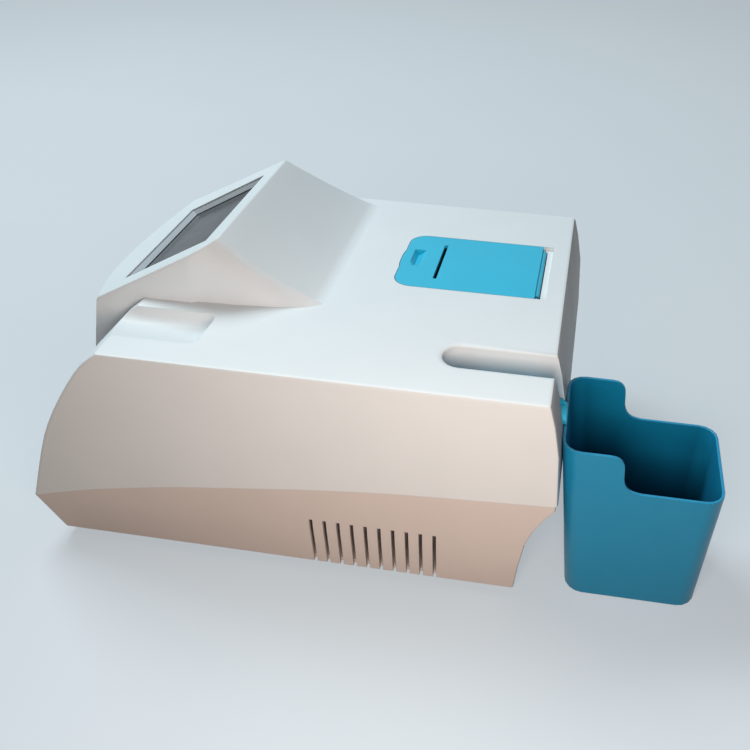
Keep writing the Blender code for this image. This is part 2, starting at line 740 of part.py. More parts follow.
def front_columns():
    """Bowed front of the housing, which fades into the nose of the case."""
    columns = []
    for k in range(1, FRONT_COLUMNS):
        share = k / FRONT_COLUMNS
        bow = 1 - (2 * share - 1) ** 2
        x = HOUSING_FAR_X + share * (HOUSING_NEAR_X - HOUSING_FAR_X)
        foot_x = HOUSING_NOSE_FAR_X + share * (HOUSING_NEAR_FOOT_X - HOUSING_NOSE_FAR_X)
        foot_z = DECK_Z - SKIN - FRONT_FOOT_DROP - bow * BOW_FOOT_DROP
        foot = (foot_x, nose_y(foot_z) + WALL, foot_z)
        columns.append(((x, FACE_FRONT_Y - bow * FACE_BOW), foot, (0, 1), 1, 1))
    return columns


def housing_solid(name, inset):
    """Display housing over the deck, or its inside when moved in by a wall."""
    columns = near_columns() + corner_columns() + ridge_columns() + far_columns() + front_columns()
    rings = [[] for _ in range(len(RING_SHARES) + 1)]
    for top, foot, inward, rise_power, flare_power in columns:
        shift_x, shift_y = inward[0] * inset, inward[1] * inset
        top_x, top_y = top[0] + shift_x, top[1] + shift_y
        top_z = face_z(top_y) - inset
        foot_x, foot_y = foot[0] + shift_x, foot[1] + shift_y
        on_deck = foot[2] > DECK_Z - WALL
        foot_z = foot[2] - inset if on_deck else foot[2]
        if on_deck:
            rings[0].append((foot_x, foot_y, foot_z - HOUSING_EMBED))
        else:
            rings[0].append((foot_x, foot_y + HOUSING_EMBED, foot_z))
        for ring, share in zip(rings[1:], RING_SHARES):
            x = foot_x + (top_x - foot_x) * share ** flare_power
            y = foot_y + (top_y - foot_y) * share
            z = foot_z + (top_z - foot_z) * share ** rise_power
            ring.append((x, y, z))
    return loft(name, rings, fan=FAN_CENTRE)


def on_face_edge(edge):
    """True for the edges of the housing's tilted face."""
    heights = [vert.co.z - face_z(vert.co.y) for vert in edge.verts]
    if max(abs(height) for height in heights) < SKIN / 4:
        return len(edge.link_faces) == 2 and any(len(face.verts) > 4 for face in edge.link_faces)
    return False


def on_case_side_edge(edge):
    """True where a side of the case meets its deck, front or rear, and on the deck's rear edge."""
    low = min(vert.co.z for vert in edge.verts)
    if low < DECK_Z - NOSE_DROP - OVERRUN + SKIN:
        return False
    sides = [face for face in edge.link_faces if abs(face.normal.x) > 0.9]
    across = all(abs(vert.co.z - DECK_Z) < SKIN for vert in edge.verts)
    across = across and abs(edge.verts[0].co.y - edge.verts[1].co.y) < SKIN
    return len(sides) == 1 or (across and edge.verts[0].co.y > 0)


def face_frame():
    """Placement of things in the display opening: x across, y up the slope, z out of the face."""
    x, y = sum(SCREEN_X) / 2, sum(SCREEN_Y) / 2
    return Matrix.Translation((x, y, face_z(y))) @ Matrix.Rotation(FACE_TILT, 4, "X")


def face_block(name, half_width, half_height, low, high):
    """Block set in the tilted face, with depths along its outward direction."""
    block = box(name, around(0, half_width), around(0, half_height), (low, high))
    return move_mesh(block, face_frame())


def notch_outline(grow):
    """Outline of the notch, open towards the rear."""
    radius = NOTCH_RADIUS + grow
    centre = (LANE_X, NOTCH_END_Y + NOTCH_RADIUS)
    rear = REAR_Y + REAR_BULGE + OVERRUN
    arc = circle(centre, radius, 15, 0.0, -math.pi)
    return [(LANE_X + radius, rear)] + arc + [(LANE_X - radius, rear)]


def notch_cutter():
    """Deep notch with a rounded lip."""
    levels = [(0, NOTCH_BOTTOM_Z - OVERRUN)]
    levels += [(run * NOTCH_LIP_RUN, DECK_Z - drop * NOTCH_LIP_DROP) for run, drop in NOTCH_LIP_SHARES]
    levels.append((NOTCH_LIP_RUN, DECK_Z + OVERRUN))
    return loft("notch_cutter", [[(x, y, z) for x, y in notch_outline(grow)] for grow, z in levels])


def notch_block():
    """Material left around the notch inside the case."""
    rear = REAR_Y + REAR_BULGE + OVERRUN
    half = NOTCH_RADIUS + NOTCH_WALL
    front = NOTCH_END_Y - NOTCH_WALL
    return box("notch_block", around(LANE_X, half), (front, rear), (NOTCH_BOTTOM_Z, DECK_Z))


def pocket_outline(inset):
    """Outline of the finger recess, open at the front."""
    far, near, rear = POCKET_FAR_X + inset, POCKET_NEAR_X - inset, POCKET_REAR_Y - inset
    radius = POCKET_CORNER * (1 - inset / (2 * POCKET_BLEND))
    quarter = math.pi / 2
    outline = [(far, POCKET_FRONT_Y)]
    outline += circle((far + radius, rear - radius), radius, 6, 2 * quarter, -quarter)
    outline += circle((near - radius, rear - radius), radius, 6, quarter, -quarter)
    return outline + [(near, POCKET_FRONT_Y)]


def pocket_cutter():
    """Finger recess: its wall rounds into a floor that falls towards the far side."""
    width = POCKET_NEAR_X - POCKET_FAR_X
    rings = []
    for run, depth in reversed(POCKET_SHARES):
        ring = []
        for x, y in pocket_outline(run * POCKET_BLEND):
            share = (POCKET_NEAR_X - x) / width
            full = POCKET_NEAR_DEPTH + (POCKET_DEPTH - POCKET_NEAR_DEPTH) * share
            ring.append((x, y, DECK_Z - depth * full))
        rings.append(ring)
    rings.append([(x, y, DECK_Z + OVERRUN) for x, y in pocket_outline(0)])
    return loft("pocket_cutter", rings)


def pocket_block():
    x_range = (POCKET_FAR_X - WALL, POCKET_NEAR_X + WALL)
    return box("pocket_block", x_range, (POCKET_FRONT_Y, POCKET_REAR_Y + WALL), (POCKET_FLOOR_Z, DECK_Z))


def cover_outline(grow):
    """Outline of the printer cover: square at the hinge, rounded at the front, with a small tab."""
    west, east = COVER_FAR_X - grow, COVER_NEAR_X + grow
    front = COVER_FRONT_Y - grow
    rear = COVER_RECESS_REAR_Y if grow else COVER_REAR_Y
    radius = COVER_CORNER
    quarter = math.pi / 2
    outline = [(west, rear)] + circle((west + radius, front + radius), radius, 7, -2 * quarter, quarter)
    tab_half = COVER_TAB_WIDTH / 2 + grow
    for k in range(7):
        share = k / 3 - 1
        x = PRINTER_CENTRE_X + share * tab_half
        outline.append((x, front - COVER_TAB_REACH * (1 - share ** 4)))
    outline += circle((east - radius, front + radius), radius, 7, -quarter, quarter)
    return outline + [(east, rear)]


def frame_block():
    """Thick rim under the deck around the printer opening."""
    x_range = (COVER_FAR_X - FRAME_MARGIN, COVER_NEAR_X + FRAME_MARGIN)
    y_range = (COVER_FRONT_Y - FRAME_MARGIN, COVER_RECESS_REAR_Y + WALL)
    return box("frame_block", x_range, y_range, (FRAME_BOTTOM_Z, DECK_Z))


def column_places():
    return [(side * COLUMN_X, y) for y in (COLUMN_FRONT_Y, COLUMN_REAR_Y) for side in (-1, 1)]


def case_cavity():
    """Inside of the upper case, with the material that stays around recesses and columns taken out."""
    profile = inset_outline(case_profile(), WALL)
    bottom = profile[0][1] - OVERRUN
    profile[0] = (profile[0][0], bottom)
    profile[-1] = (profile[-1][0], bottom)
    cavity = case_block("cavity", profile, WALL)
    join(cavity, housing_solid("housing_inside", HOUSING_WALL))
    cut(cavity, notch_block(), pocket_block(), frame_block())
    for x, y in column_places():
        cut(cavity, upright_pin("column", (x, y), COLUMN_RADIUS, (COLUMN_JOINT_Z, DECK_Z), 20))
    for x, y in hanger_places():
        cut(cavity, upright_pin("hanger", (x, y), HANGER_RADIUS, (CHASSIS_TOP_Z + GAP, DECK_Z), 16))
    return cavity


def cut_printer_opening(shell):
    """Cut the cover's recess, the opening in it and the hinge pin's groove."""
    recess_z = (DECK_Z - COVER_THICKNESS - GAP, DECK_Z + OVERRUN)
    cut(shell, prism("cover_recess", cover_outline(COVER_GAP), *recess_z))
    opening_x = around(PRINTER_CENTRE_X, OPENING_HALF_WIDTH)
    opening_y = (OPENING_FRONT_Y, OPENING_REAR_Y)
    cut(shell, box("opening", opening_x, opening_y, (FRAME_BOTTOM_Z - OVERRUN, DECK_Z)))
    groove = HINGE_PIN_RADIUS + HINGE_FIT
    cut(shell, cross_pin("pin_groove", (HINGE_Y, HINGE_Z), groove, (COVER_FAR_X, COVER_NEAR_X)))


def upper_shell():
    shell = case_block("upper_shell", case_profile(), 0)
    round_edges(shell, EDGE_ROUND, 2, on_case_side_edge)
    housing = housing_solid("housing", 0)
    round_edges(housing, HOUSING_ROUND, 2, on_face_edge)
    join(shell, housing)
    cut(shell, case_cavity(), notch_cutter(), pocket_cutter())
    cut_printer_opening(shell)
    cut(shell, face_block("screen_opening", SCREEN_WIDTH / 2, SCREEN_HEIGHT / 2, -OVERRUN, OVERRUN))
    inlet_x = around(LANE_X, INLET_HALF_WIDTH)
    inlet_y = (NOSE_START_Y - NOSE_REACH, INLET_REAR_Y)
    cut(shell, box("inlet", inlet_x, inlet_y, (INLET_BOTTOM_Z, INLET_TOP_Z)))
    tunnel_y = (NOTCH_END_Y - OVERRUN, NOTCH_END_Y + NOTCH_RADIUS)
    tunnel_z = (NOTCH_BOTTOM_Z - OVERRUN, LANE_TOP_Z)
    cut(shell, box("tunnel", around(LANE_X, NOTCH_RADIUS), tunnel_y, tunnel_z))
    pilot_z = (COLUMN_JOINT_Z - OVERRUN, SCREW_TIP_Z + WALL)
    for place in column_places():
        cut(shell, upright_pin("pilot", place, SCREW_RADIUS + SCREW_FIT, pilot_z, 12))
    hanger_hole = (CHASSIS_TOP_Z - OVERRUN, CHASSIS_TOP_Z + HANGER_HOLE_DEPTH)
    for place in hanger_places():
        cut(shell, upright_pin("hanger_hole", place, SCREW_RADIUS + SCREW_FIT, hanger_hole, 12))
    cut(shell, parting_cutter("below", 0, above=False))
    return shade_round(paint(shell, (0.80, 0.83, 0.84), 0.42))


def bin_ring(z, inset):
    """Outline of the bin at a height, moved in by a wall where asked."""
    share = z / BIN_HIGH_Z
    west, east = (foot + share * (rim - foot) for foot, rim in zip(BIN_FOOT_X, BIN_RIM_X))
    south, north = (foot + share * (rim - foot) for foot, rim in zip(BIN_FOOT_Y, BIN_RIM_Y))
    x_range, y_range = (west + inset, east - inset), (south + inset, north - inset)
    return [(x, y, z) for x, y in rounded_rectangle(x_range, y_range, BIN_CORNER - inset)]


def waste_bin():
    """Open bin whose rim steps down in an S-curve behind the device."""
    body = loft("waste_bin", [bin_ring(0, 0), bin_ring(BIN_HIGH_Z, 0)])
    round_edges(body, BIN_FOOT_ROUND, 2, lambda edge: max(vert.co.z for vert in edge.verts) < SKIN)
    top = BIN_HIGH_Z + OVERRUN
    cut(body, loft("bin_inside", [bin_ring(BIN_FLOOR, BIN_WALL), bin_ring(top, BIN_WALL)]))
    drop = BIN_HIGH_Z - BIN_LOW_Z
    points = [(BIN_STEP_Y + run * BIN_STEP_RUN, BIN_HIGH_Z - down * drop) for run, down in BIN_STEP_SHARES]
    step = smooth_line(points, 2)
    rear = BIN_RIM_Y[1] + OVERRUN
    profile = [(step[0][0], top)] + step + [(rear, BIN_LOW_Z), (rear, top)]
    cut(body, profile_bar("rim_step", profile, 0, BODY_HALF_WIDTH + OVERRUN))
    return shade_round(paint(body, (0.015, 0.26, 0.36), 0.45))


def hanger_places():
    return [
        (HANGER_NEAR_X, HANGER_FRONT_Y), (HANGER_NEAR_X, HANGER_REAR_Y),
        (HANGER_FAR_X, HANGER_MIDDLE_Y), (HANGER_FAR_X, HANGER_REAR_Y),
    ]


def foot_places():
    return [(side * FOOT_X, y) for y in (FOOT_FRONT_Y, FOOT_REAR_Y) for side in (-1, 1)]


def standoff_places():
    places = []
    for x in (MAIN_BOARD_X[0] + STANDOFF_MARGIN, MAIN_BOARD_X[1] - STANDOFF_MARGIN):
        for y in (MAIN_BOARD_Y[0] + STANDOFF_MARGIN, MAIN_BOARD_Y[1] - STANDOFF_MARGIN):
            places.append((x, y))
    return places


def lower_half_width(z):
    """Half width of the lower shell, which draws in towards the table."""
    if z >= LOWER_BEND_Z:
        share = (z - LOWER_BEND_Z) / (LOWER_BLOCK_TOP_Z - LOWER_BEND_Z)
        return LOWER_BEND_HALF_WIDTH + share * (LOWER_TOP_HALF_WIDTH - LOWER_BEND_HALF_WIDTH)
    share = (z - CASE_BOTTOM_Z) / (LOWER_BEND_Z - CASE_BOTTOM_Z)
    return LOWER_FOOT_HALF_WIDTH + share * (LOWER_BEND_HALF_WIDTH - LOWER_FOOT_HALF_WIDTH)


def lower_flare(z):
    """How much wider the lower shell is at its front end, where it meets the nose."""
    if z >= LOWER_BEND_Z:
        return LOWER_NOSE_FLARE * (LOWER_BLOCK_TOP_Z - z) / (LOWER_BLOCK_TOP_Z - LOWER_BEND_Z)
    return LOWER_NOSE_FLARE * (z - CASE_BOTTOM_Z) / (LOWER_BEND_Z - CASE_BOTTOM_Z)


def lower_levels():
    """Heights of the lower shell with its front and rear ends, from the bottom up."""
    cove = [
        (COVE_TOP_Z - down * (COVE_TOP_Z - CASE_BOTTOM_Z), COVE_TOP_Y - back * (COVE_TOP_Y - COVE_FOOT_Y))
        for back, down in reversed(COVE_SHARES)
    ]
    cove += [(COVE_TOP_Z, COVE_TOP_Y), (LOWER_BLOCK_TOP_Z, COVE_TOP_Y)]
    levels = []
    for z, rear in cove:
        share = min(1, (z - CASE_BOTTOM_Z) / (LOWER_BEND_Z - CASE_BOTTOM_Z))
        front = LOWER_FOOT_FRONT_Y + share * (LOWER_FRONT_Y - LOWER_FOOT_FRONT_Y)
        levels.append((z, front, rear))
    share = (LOWER_BEND_Z - cove[1][0]) / (cove[2][0] - cove[1][0])
    bend_rear = cove[1][1] + share * (cove[2][1] - cove[1][1])
    levels.insert(2, (LOWER_BEND_Z, LOWER_FRONT_Y, bend_rear))
    return levels


def lower_block(name, inset):
    """Body of the lower shell, or its inside when moved in by a wall."""
    rings = []
    for index, (z, front, rear) in enumerate(lower_levels()):
        half = lower_half_width(z) - inset
        height = z + inset if index == 0 else z
        if inset > 0 and z == LOWER_BLOCK_TOP_Z:
            height = z + OVERRUN
        south, north = front + inset, rear - inset
        wide = half + lower_flare(z)
        corners = (
            (-wide, south), (wide, south), (half, LOWER_FLARE_Y),
            (half, north), (-half, north), (-half, LOWER_FLARE_Y),
        )
        rings.append([(x, y, height) for x, y in corners])
    return loft(name, rings)


def on_upright_edge(edge):
    """True for the lower shell's corner edges."""
    first, second = (vert.co for vert in edge.verts)
    same_corner = first.x * second.x > 0 and abs(first.x - second.x) < EDGE_ROUND * 2
    at_end = abs(first.y - LOWER_FLARE_Y) > EDGE_ROUND
    return same_corner and at_end and abs(first.z - second.z) > EDGE_ROUND


def lower_cavity():
    cavity = in_triangles(lower_block("lower_inside", WALL))
    pad_x = (-BODY_HALF_WIDTH, PORT_FACE_X + PORT_PANEL)
    cut(cavity, box("port_pad", pad_x, PORT_PANEL_Y, (PORT_PANEL_Z[0] - WALL, PORT_PANEL_Z[1] + WALL)))
    for x, y in column_places():
        cut(cavity, upright_pin("column", (x, y), COLUMN_RADIUS, (CASE_BOTTOM_Z, COLUMN_JOINT_Z - GAP), 20))
    for x, y in standoff_places():
        cut(cavity, upright_pin("standoff", (x, y), STANDOFF_RADIUS, (CASE_BOTTOM_Z, STANDOFF_TOP_Z), 12))
    return cavity


def lower_shell():
    shell = lower_block("lower_shell", 0)
    in_triangles(round_edges(shell, EDGE_ROUND / 2, 2, on_upright_edge))
    cut(shell, lower_cavity())
    cut(shell, parting_cutter("above", -GAP, above=True))
    vent_x = (lower_half_width(CASE_BOTTOM_Z) - VENT_REACH + WALL / 2, BODY_HALF_WIDTH + OVERRUN)
    for k in range(VENT_COUNT):
        y_range = around(VENT_START_Y + k * VENT_PITCH, VENT_WIDTH / 2)
        cut(shell, box("vent", vent_x, y_range, (-OVERRUN, VENT_TOP_Z)))
    hole_z = (-OVERRUN, COLUMN_JOINT_Z + OVERRUN)
    for place in column_places():
        cut(shell, upright_pin("counterbore", place, COUNTERBORE_RADIUS, (-OVERRUN, SCREW_SEAT_Z), 16))
        cut(shell, upright_pin("hole", place, SCREW_RADIUS + SCREW_FIT, hole_z, 12))
    foot_hole_z = (-OVERRUN, FOOT_STEM_TOP_Z)
    for place in foot_places():
        cut(shell, upright_pin("foot_hole", place, FOOT_STEM_RADIUS + SCREW_FIT, foot_hole_z, 12))
    recess_x = (-BODY_HALF_WIDTH - OVERRUN, PORT_FACE_X)
    cut(shell, box("port_recess", recess_x, PORT_PANEL_Y, PORT_PANEL_Z))
    cutout_x = (PORT_FACE_X - OVERRUN, PORT_FACE_X + PORT_PANEL + WALL)
    for y, (half_length, half_height) in port_places():
        y_range = around(y, half_length + PORT_CLEARANCE)
        z_range = around(PORT_Z, half_height + PORT_CLEARANCE)
        cut(shell, box("port_cutout", cutout_x, y_range, z_range))
    return shade_round(paint(shell, (0.78, 0.78, 0.77), 0.45))


def port_places():
    return [
        (INLET_PORT_Y, INLET_PORT_HALF), (SWITCH_Y, SWITCH_HALF),
        (SERIAL_Y, SERIAL_HALF), (USB_Y, USB_HALF),
    ]


def feet():
    for number, (x, y) in enumerate(foot_places(), 1):
        top = CASE_BOTTOM_Z - GAP
        rings = [
            [(px, py, z) for px, py in circle((x, y), radius, 24)]
            for radius, z in (
                (FOOT_TIP_RADIUS, 0), (FOOT_RADIUS, WALL), (FOOT_RADIUS, top),
                (FOOT_STEM_RADIUS, top), (FOOT_STEM_RADIUS, FOOT_STEM_TOP_Z),
            )
        ]
        shade_round(paint(loft(f"foot_{number}", rings), (0.03, 0.03, 0.032), 0.85))


def screw(name, x, y, seat, tip, head_radius, head_height, radius):
    """Screw that is driven upwards, with a cross recess in its head."""
    below = seat - GAP
    rings = [
        [(px, py, z) for px, py in circle((x, y), r, 16)]
        for r, z in ((head_radius, below - head_height), (head_radius, below), (radius, below), (radius, tip))
    ]
    body = loft(name, rings)
    depth = (below - head_height - OVERRUN, below - head_height / 2)
    long_half, short_half = (head_radius * share for share in SCREW_SLOT_SHARES)
    cut(body, box("slot", around(x, long_half), around(y, short_half), depth))
    cut(body, box("slot", around(x, short_half), around(y, long_half), depth))
    return shade_round(paint(body, (0.55, 0.55, 0.56), 0.35, 1.0))


def case_screws():
    for number, (x, y) in enumerate(column_places(), 1):
        name = f"case_screw_{number}"
        screw(name, x, y, SCREW_SEAT_Z, SCREW_TIP_Z, SCREW_HEAD_RADIUS, SCREW_HEAD_HEIGHT, SCREW_RADIUS)


def chassis_screws():
    seat = CHASSIS_TOP_Z - CHASSIS_SHEET
    tip = CHASSIS_TOP_Z + HANGER_HOLE_DEPTH - SCREW_RADIUS
    for number, (x, y) in enumerate(hanger_places(), 1):
        name = f"chassis_screw_{number}"
        screw(name, x, y, seat, tip, SCREW_HEAD_RADIUS, SCREW_HEAD_HEIGHT, SCREW_RADIUS)


def slot_shape(name):
    """Cutter for the paper's slot in the cover."""
    x_range = around(PRINTER_CENTRE_X, PAPER_SLOT_LENGTH / 2)
    y_range = around(PAPER_SLOT_Y, PAPER_SLOT_WIDTH / 2)
    return box(name, x_range, y_range, around(DECK_Z, OVERRUN))


def finger_pull():
    """Cutter for the finger pull: its front wall falls steeply, its floor rises to the rear and the near end."""
    rear = PULL_FRONT_Y + PULL_REACH
    rings = []
    for across, share in PULL_END_SHARES:
        x = PULL_X + PULL_HALF_WIDTH * (2 * across - 1)
        floor = [
            (PULL_FRONT_Y + run * PULL_REACH, DECK_Z - drop * share * PULL_DEPTH) for run, drop in PULL_SHARES
        ]
        top = DECK_Z + OVERRUN
        rings.append([(x, y, z) for y, z in [(PULL_FRONT_Y, top)] + floor + [(rear, top)]])
    return loft("finger_pull", rings)


def pull_cup():
    """Cup under the cover that holds the finger pull."""
    x_range = around(PULL_X, PULL_HALF_WIDTH + PULL_CUP_WALL)
    y_range = (PULL_FRONT_Y, PULL_FRONT_Y + PULL_REACH + PULL_CUP_WALL)
    return box("cup", x_range, y_range, (DECK_Z - PULL_DEPTH - PULL_CUP_WALL, DECK_Z - COVER_THICKNESS / 2))


def printer_cover():
    """Teal flap with a paper slot, a finger pull, two ribs and the hinge barrel."""
    cover = prism("printer_cover", cover_outline(0), DECK_Z - COVER_THICKNESS, DECK_Z)
    barrel_half = OPENING_HALF_WIDTH - COVER_THICKNESS
    barrel_x = around(PRINTER_CENTRE_X, barrel_half)
    join(cover, cross_pin("barrel", (HINGE_Y, HINGE_Z), HINGE_BARREL_RADIUS, barrel_x), pull_cup())
    rib_y = (OPENING_FRONT_Y + COVER_THICKNESS, HINGE_Y - COVER_CORNER)
    rib_z = (FRAME_BOTTOM_Z + COVER_THICKNESS, DECK_Z - COVER_THICKNESS / 2)
    for side in (-1, 1):
        rib_x = around(PRINTER_CENTRE_X + side * barrel_half, COVER_THICKNESS / 4)
        join(cover, box("rib", rib_x, rib_y, rib_z))
    bore_x = around(PRINTER_CENTRE_X, OPENING_HALF_WIDTH + OVERRUN)
    cut(cover, cross_pin("bore", (HINGE_Y, HINGE_Z), HINGE_PIN_RADIUS + HINGE_FIT, bore_x))
    cut(cover, slot_shape("paper_slot"), finger_pull())
    return shade_round(paint(cover, (0.055, 0.42, 0.60), 0.4))


def cover_hinge_pin():
    reach = (COVER_FAR_X + GAP, COVER_NEAR_X - GAP)
    pin = cross_pin("cover_hinge_pin", (HINGE_Y, HINGE_Z), HINGE_PIN_RADIUS, reach, 12)
    return shade_round(paint(pin, (0.6, 0.6, 0.61), 0.3, 1.0))


def face_ring(name, section):
    """Rectangular ring in the display opening, from a section of (inwards, outwards) distances."""
    corners = []
    for side_x, side_y in ((-1, -1), (1, -1), (1, 1), (-1, 1)):
        corners.append([
            (side_x * (SCREEN_WIDTH / 2 - inwards), side_y * (SCREEN_HEIGHT / 2 - inwards), outwards)
            for inwards, outwards in section
        ])
    bm = bmesh.new()
    rows = [[bm.verts.new(point) for point in corner] for corner in corners]
    count = len(section)
    for here, after in zip(rows, rows[1:] + rows[:1]):
        for i in range(count):
            j = (i + 1) % count
            bm.faces.new((here[i], here[j], after[j], after[i]))
    return move_mesh(add_object(name, bm), face_frame())


def screen_gasket():
    """Bevelled seal: a flange under the face, a thin rim and a lip that slopes down to the glass."""
    under = -(HOUSING_WALL * math.cos(FACE_TILT) + GASKET_FIT)
    step = -GASKET_TOP - GASKET_STEP
    section = (
        (-GASKET_FLANGE, under), (GASKET_FIT, under), (GASKET_FIT, -GASKET_TOP),
        (GASKET_RIM, -GASKET_TOP), (GASKET_RIM, step), (GASKET_LIP, step - GASKET_SLOPE),
        (GASKET_LIP, -GASKET_BASE), (-GASKET_FLANGE, -GASKET_BASE),
    )
    return paint(face_ring("screen_gasket", section), (0.36, 0.37, 0.38), 0.6)


def glass_top():
    return -GASKET_BASE - GASKET_FIT


def display_top():
    return glass_top() - GLASS_THICKNESS - GASKET_FIT


def touch_glass():
    half_width = SCREEN_WIDTH / 2 + GLASS_MARGIN
    half_height = SCREEN_HEIGHT / 2 + GLASS_MARGIN
    glass = face_block("touch_glass", half_width, half_height, glass_top() - GLASS_THICKNESS, glass_top())
    return paint(glass, (0.13, 0.135, 0.145), 0.12)


def display_module():
    """Display behind the glass, with a raised part on its back."""
    half_width, half_height = SCREEN_WIDTH / 2, SCREEN_HEIGHT / 2
    top = display_top()
    low = top - DISPLAY_THICKNESS
    module = face_block("display_module", half_width, half_height, low + DISPLAY_THICKNESS / 4, top)
    back_width, back_height = half_width * DISPLAY_BACK_SHARES[0], half_height * DISPLAY_BACK_SHARES[1]
    join(module, face_block("back", back_width, back_height, low, top - DISPLAY_THICKNESS / 2))
    return paint(module, (0.5, 0.51, 0.52), 0.45, 0.6)


def display_bracket():
    """Sheet-metal pan that holds the display against the face, open behind it."""
    half_width, half_height = SCREEN_WIDTH / 2 + PAN_MARGIN, SCREEN_HEIGHT / 2 + PAN_MARGIN
    rim = -(HOUSING_WALL * math.cos(FACE_TILT) + GASKET_FIT)
    floor = display_top() - DISPLAY_THICKNESS - GASKET_FIT
    pan = face_block("display_bracket", half_width, half_height, floor - PAN_SHEET, rim)
    inner_width, inner_height = half_width - PAN_SHEET, half_height - PAN_SHEET
    inside = face_block("pan_inside", inner_width, inner_height, floor, rim + OVERRUN)
    window_width, window_height = half_width * PAN_WINDOW_SHARES[0], half_height * PAN_WINDOW_SHARES[1]
    window = face_block("window", window_width, window_height, floor - OVERRUN, floor + OVERRUN)
    cut(pan, inside, window)
    return paint(pan, (0.6, 0.61, 0.62), 0.4, 1.0)


def lane_chassis():
    """Sheet-metal plate under the deck that carries the strip transport."""
    ear = HANGER_RADIUS + CHASSIS_EAR_MARGIN
    front_ear, rear_ear = HANGER_FRONT_Y, HANGER_REAR_Y
    outline = [
        (CHASSIS_FAR_X, CHASSIS_FRONT_Y), (CHASSIS_NEAR_X, CHASSIS_FRONT_Y),
        (CHASSIS_NEAR_X, front_ear - ear), (CHASSIS_EAR_X, front_ear - ear),
        (CHASSIS_EAR_X, front_ear + ear), (CHASSIS_NEAR_X, front_ear + ear),
        (CHASSIS_NEAR_X, rear_ear - ear), (CHASSIS_EAR_X, rear_ear - ear),
        (CHASSIS_EAR_X, CHASSIS_REAR_Y), (CHASSIS_FAR_X, CHASSIS_REAR_Y),
    ]
    bottom = CHASSIS_TOP_Z - CHASSIS_SHEET
    plate = prism("lane_chassis", outline, bottom, CHASSIS_TOP_Z)
    through = (bottom - OVERRUN, CHASSIS_TOP_Z + OVERRUN)
    for place in hanger_places():
        cut(plate, upright_pin("hole", place, SCREW_RADIUS + SCREW_FIT, through, 12))
    cut(plate, upright_pin("boss_hole", (BELT_X, PULLEY_REAR_Y), MOTOR_BOSS_RADIUS + GAP, through, 24))
    cut(plate, upright_pin("pin_hole", (BELT_X, PULLEY_FRONT_Y), PIN_RADIUS + PULLEY_FIT, through, 16))
    return paint(plate, (0.58, 0.59, 0.60), 0.4, 1.0)


def strip_rail():
    """Channel that the strips slide along, with a lip that falls off over the bin."""
    bottom = CHASSIS_TOP_Z + GAP
    length = (RAIL_FRONT_Y, RAIL_REAR_Y)
    rail = box("strip_rail", around(LANE_X, RAIL_HALF_WIDTH), length, (bottom, bottom + RAIL_HEIGHT))
    channel_half = RAIL_HALF_WIDTH - RAIL_SIDE
    reach = (RAIL_FRONT_Y - OVERRUN, RAIL_REAR_Y + OVERRUN)
    floor = bottom + RAIL_FLOOR
    cut(rail, box("channel", around(LANE_X, channel_half), reach, (floor, floor + OVERRUN)))
    fall_y = RAIL_REAR_Y - RAIL_HEIGHT
    slope = [
        (fall_y, floor + OVERRUN), (fall_y, bottom + RAIL_HEIGHT),
        (RAIL_REAR_Y, floor - RAIL_END_FALL), (RAIL_REAR_Y + OVERRUN, floor - RAIL_END_FALL),
        (RAIL_REAR_Y + OVERRUN, floor + OVERRUN),
    ]
    cut(rail, profile_bar("end_fall", slope, LANE_X - OVERRUN, LANE_X + OVERRUN))
    tile_half_x = TILE_HALF_WIDTH + PULLEY_FIT
    tile_y = around(TILE_Y, TILE_HALF_LENGTH + PULLEY_FIT)
    seat = floor - TILE_THICKNESS - GAP
    cut(rail, box("tile_seat", around(LANE_X, tile_half_x), tile_y, (seat, floor + RAIL_HEIGHT)))
    return paint(rail, (0.03, 0.36, 0.48), 0.45)


def reference_tile():
    """White calibration tile set in the lane's floor."""
    floor = CHASSIS_TOP_Z + GAP + RAIL_FLOOR
    tile = box(
        "reference_tile", around(LANE_X, TILE_HALF_WIDTH), around(TILE_Y, TILE_HALF_LENGTH),
        (floor - TILE_THICKNESS, floor),
    )
    return paint(tile, (0.9, 0.9, 0.9), 0.3)


def rod_blocks():
    for name, front in (("rod_block_front", BLOCK_FRONT_Y), ("rod_block_rear", BLOCK_REAR_Y)):
        y_range = (front, front + BLOCK_LENGTH)
        z_range = (CHASSIS_TOP_Z + GAP, BLOCK_TOP_Z)
        block = box(name, around(LANE_X, BLOCK_HALF_WIDTH), y_range, z_range)
        reach = (front - OVERRUN, front + OVERRUN)
        cut(block, box("lane", around(LANE_X, LANE_HALF_WIDTH), reach, (CHASSIS_TOP_Z - OVERRUN, LANE_TOP_Z)))
        for side in (-1, 1):
            centre = (LANE_X + side * ROD_OFFSET, ROD_Z)
            cut(block, length_pin("bore", centre, ROD_RADIUS + ROD_FIT, reach, 16))
        shade_round(paint(block, (0.12, 0.12, 0.125), 0.55))


def guide_rods():
    y_range = (BLOCK_FRONT_Y + GAP, BLOCK_REAR_Y + BLOCK_LENGTH - GAP)
    for name, side in (("guide_rod_left", -1), ("guide_rod_right", 1)):
        rod = length_pin(name, (LANE_X + side * ROD_OFFSET, ROD_Z), ROD_RADIUS, y_range, 16)
        shade_round(paint(rod, (0.65, 0.65, 0.66), 0.2, 1.0))


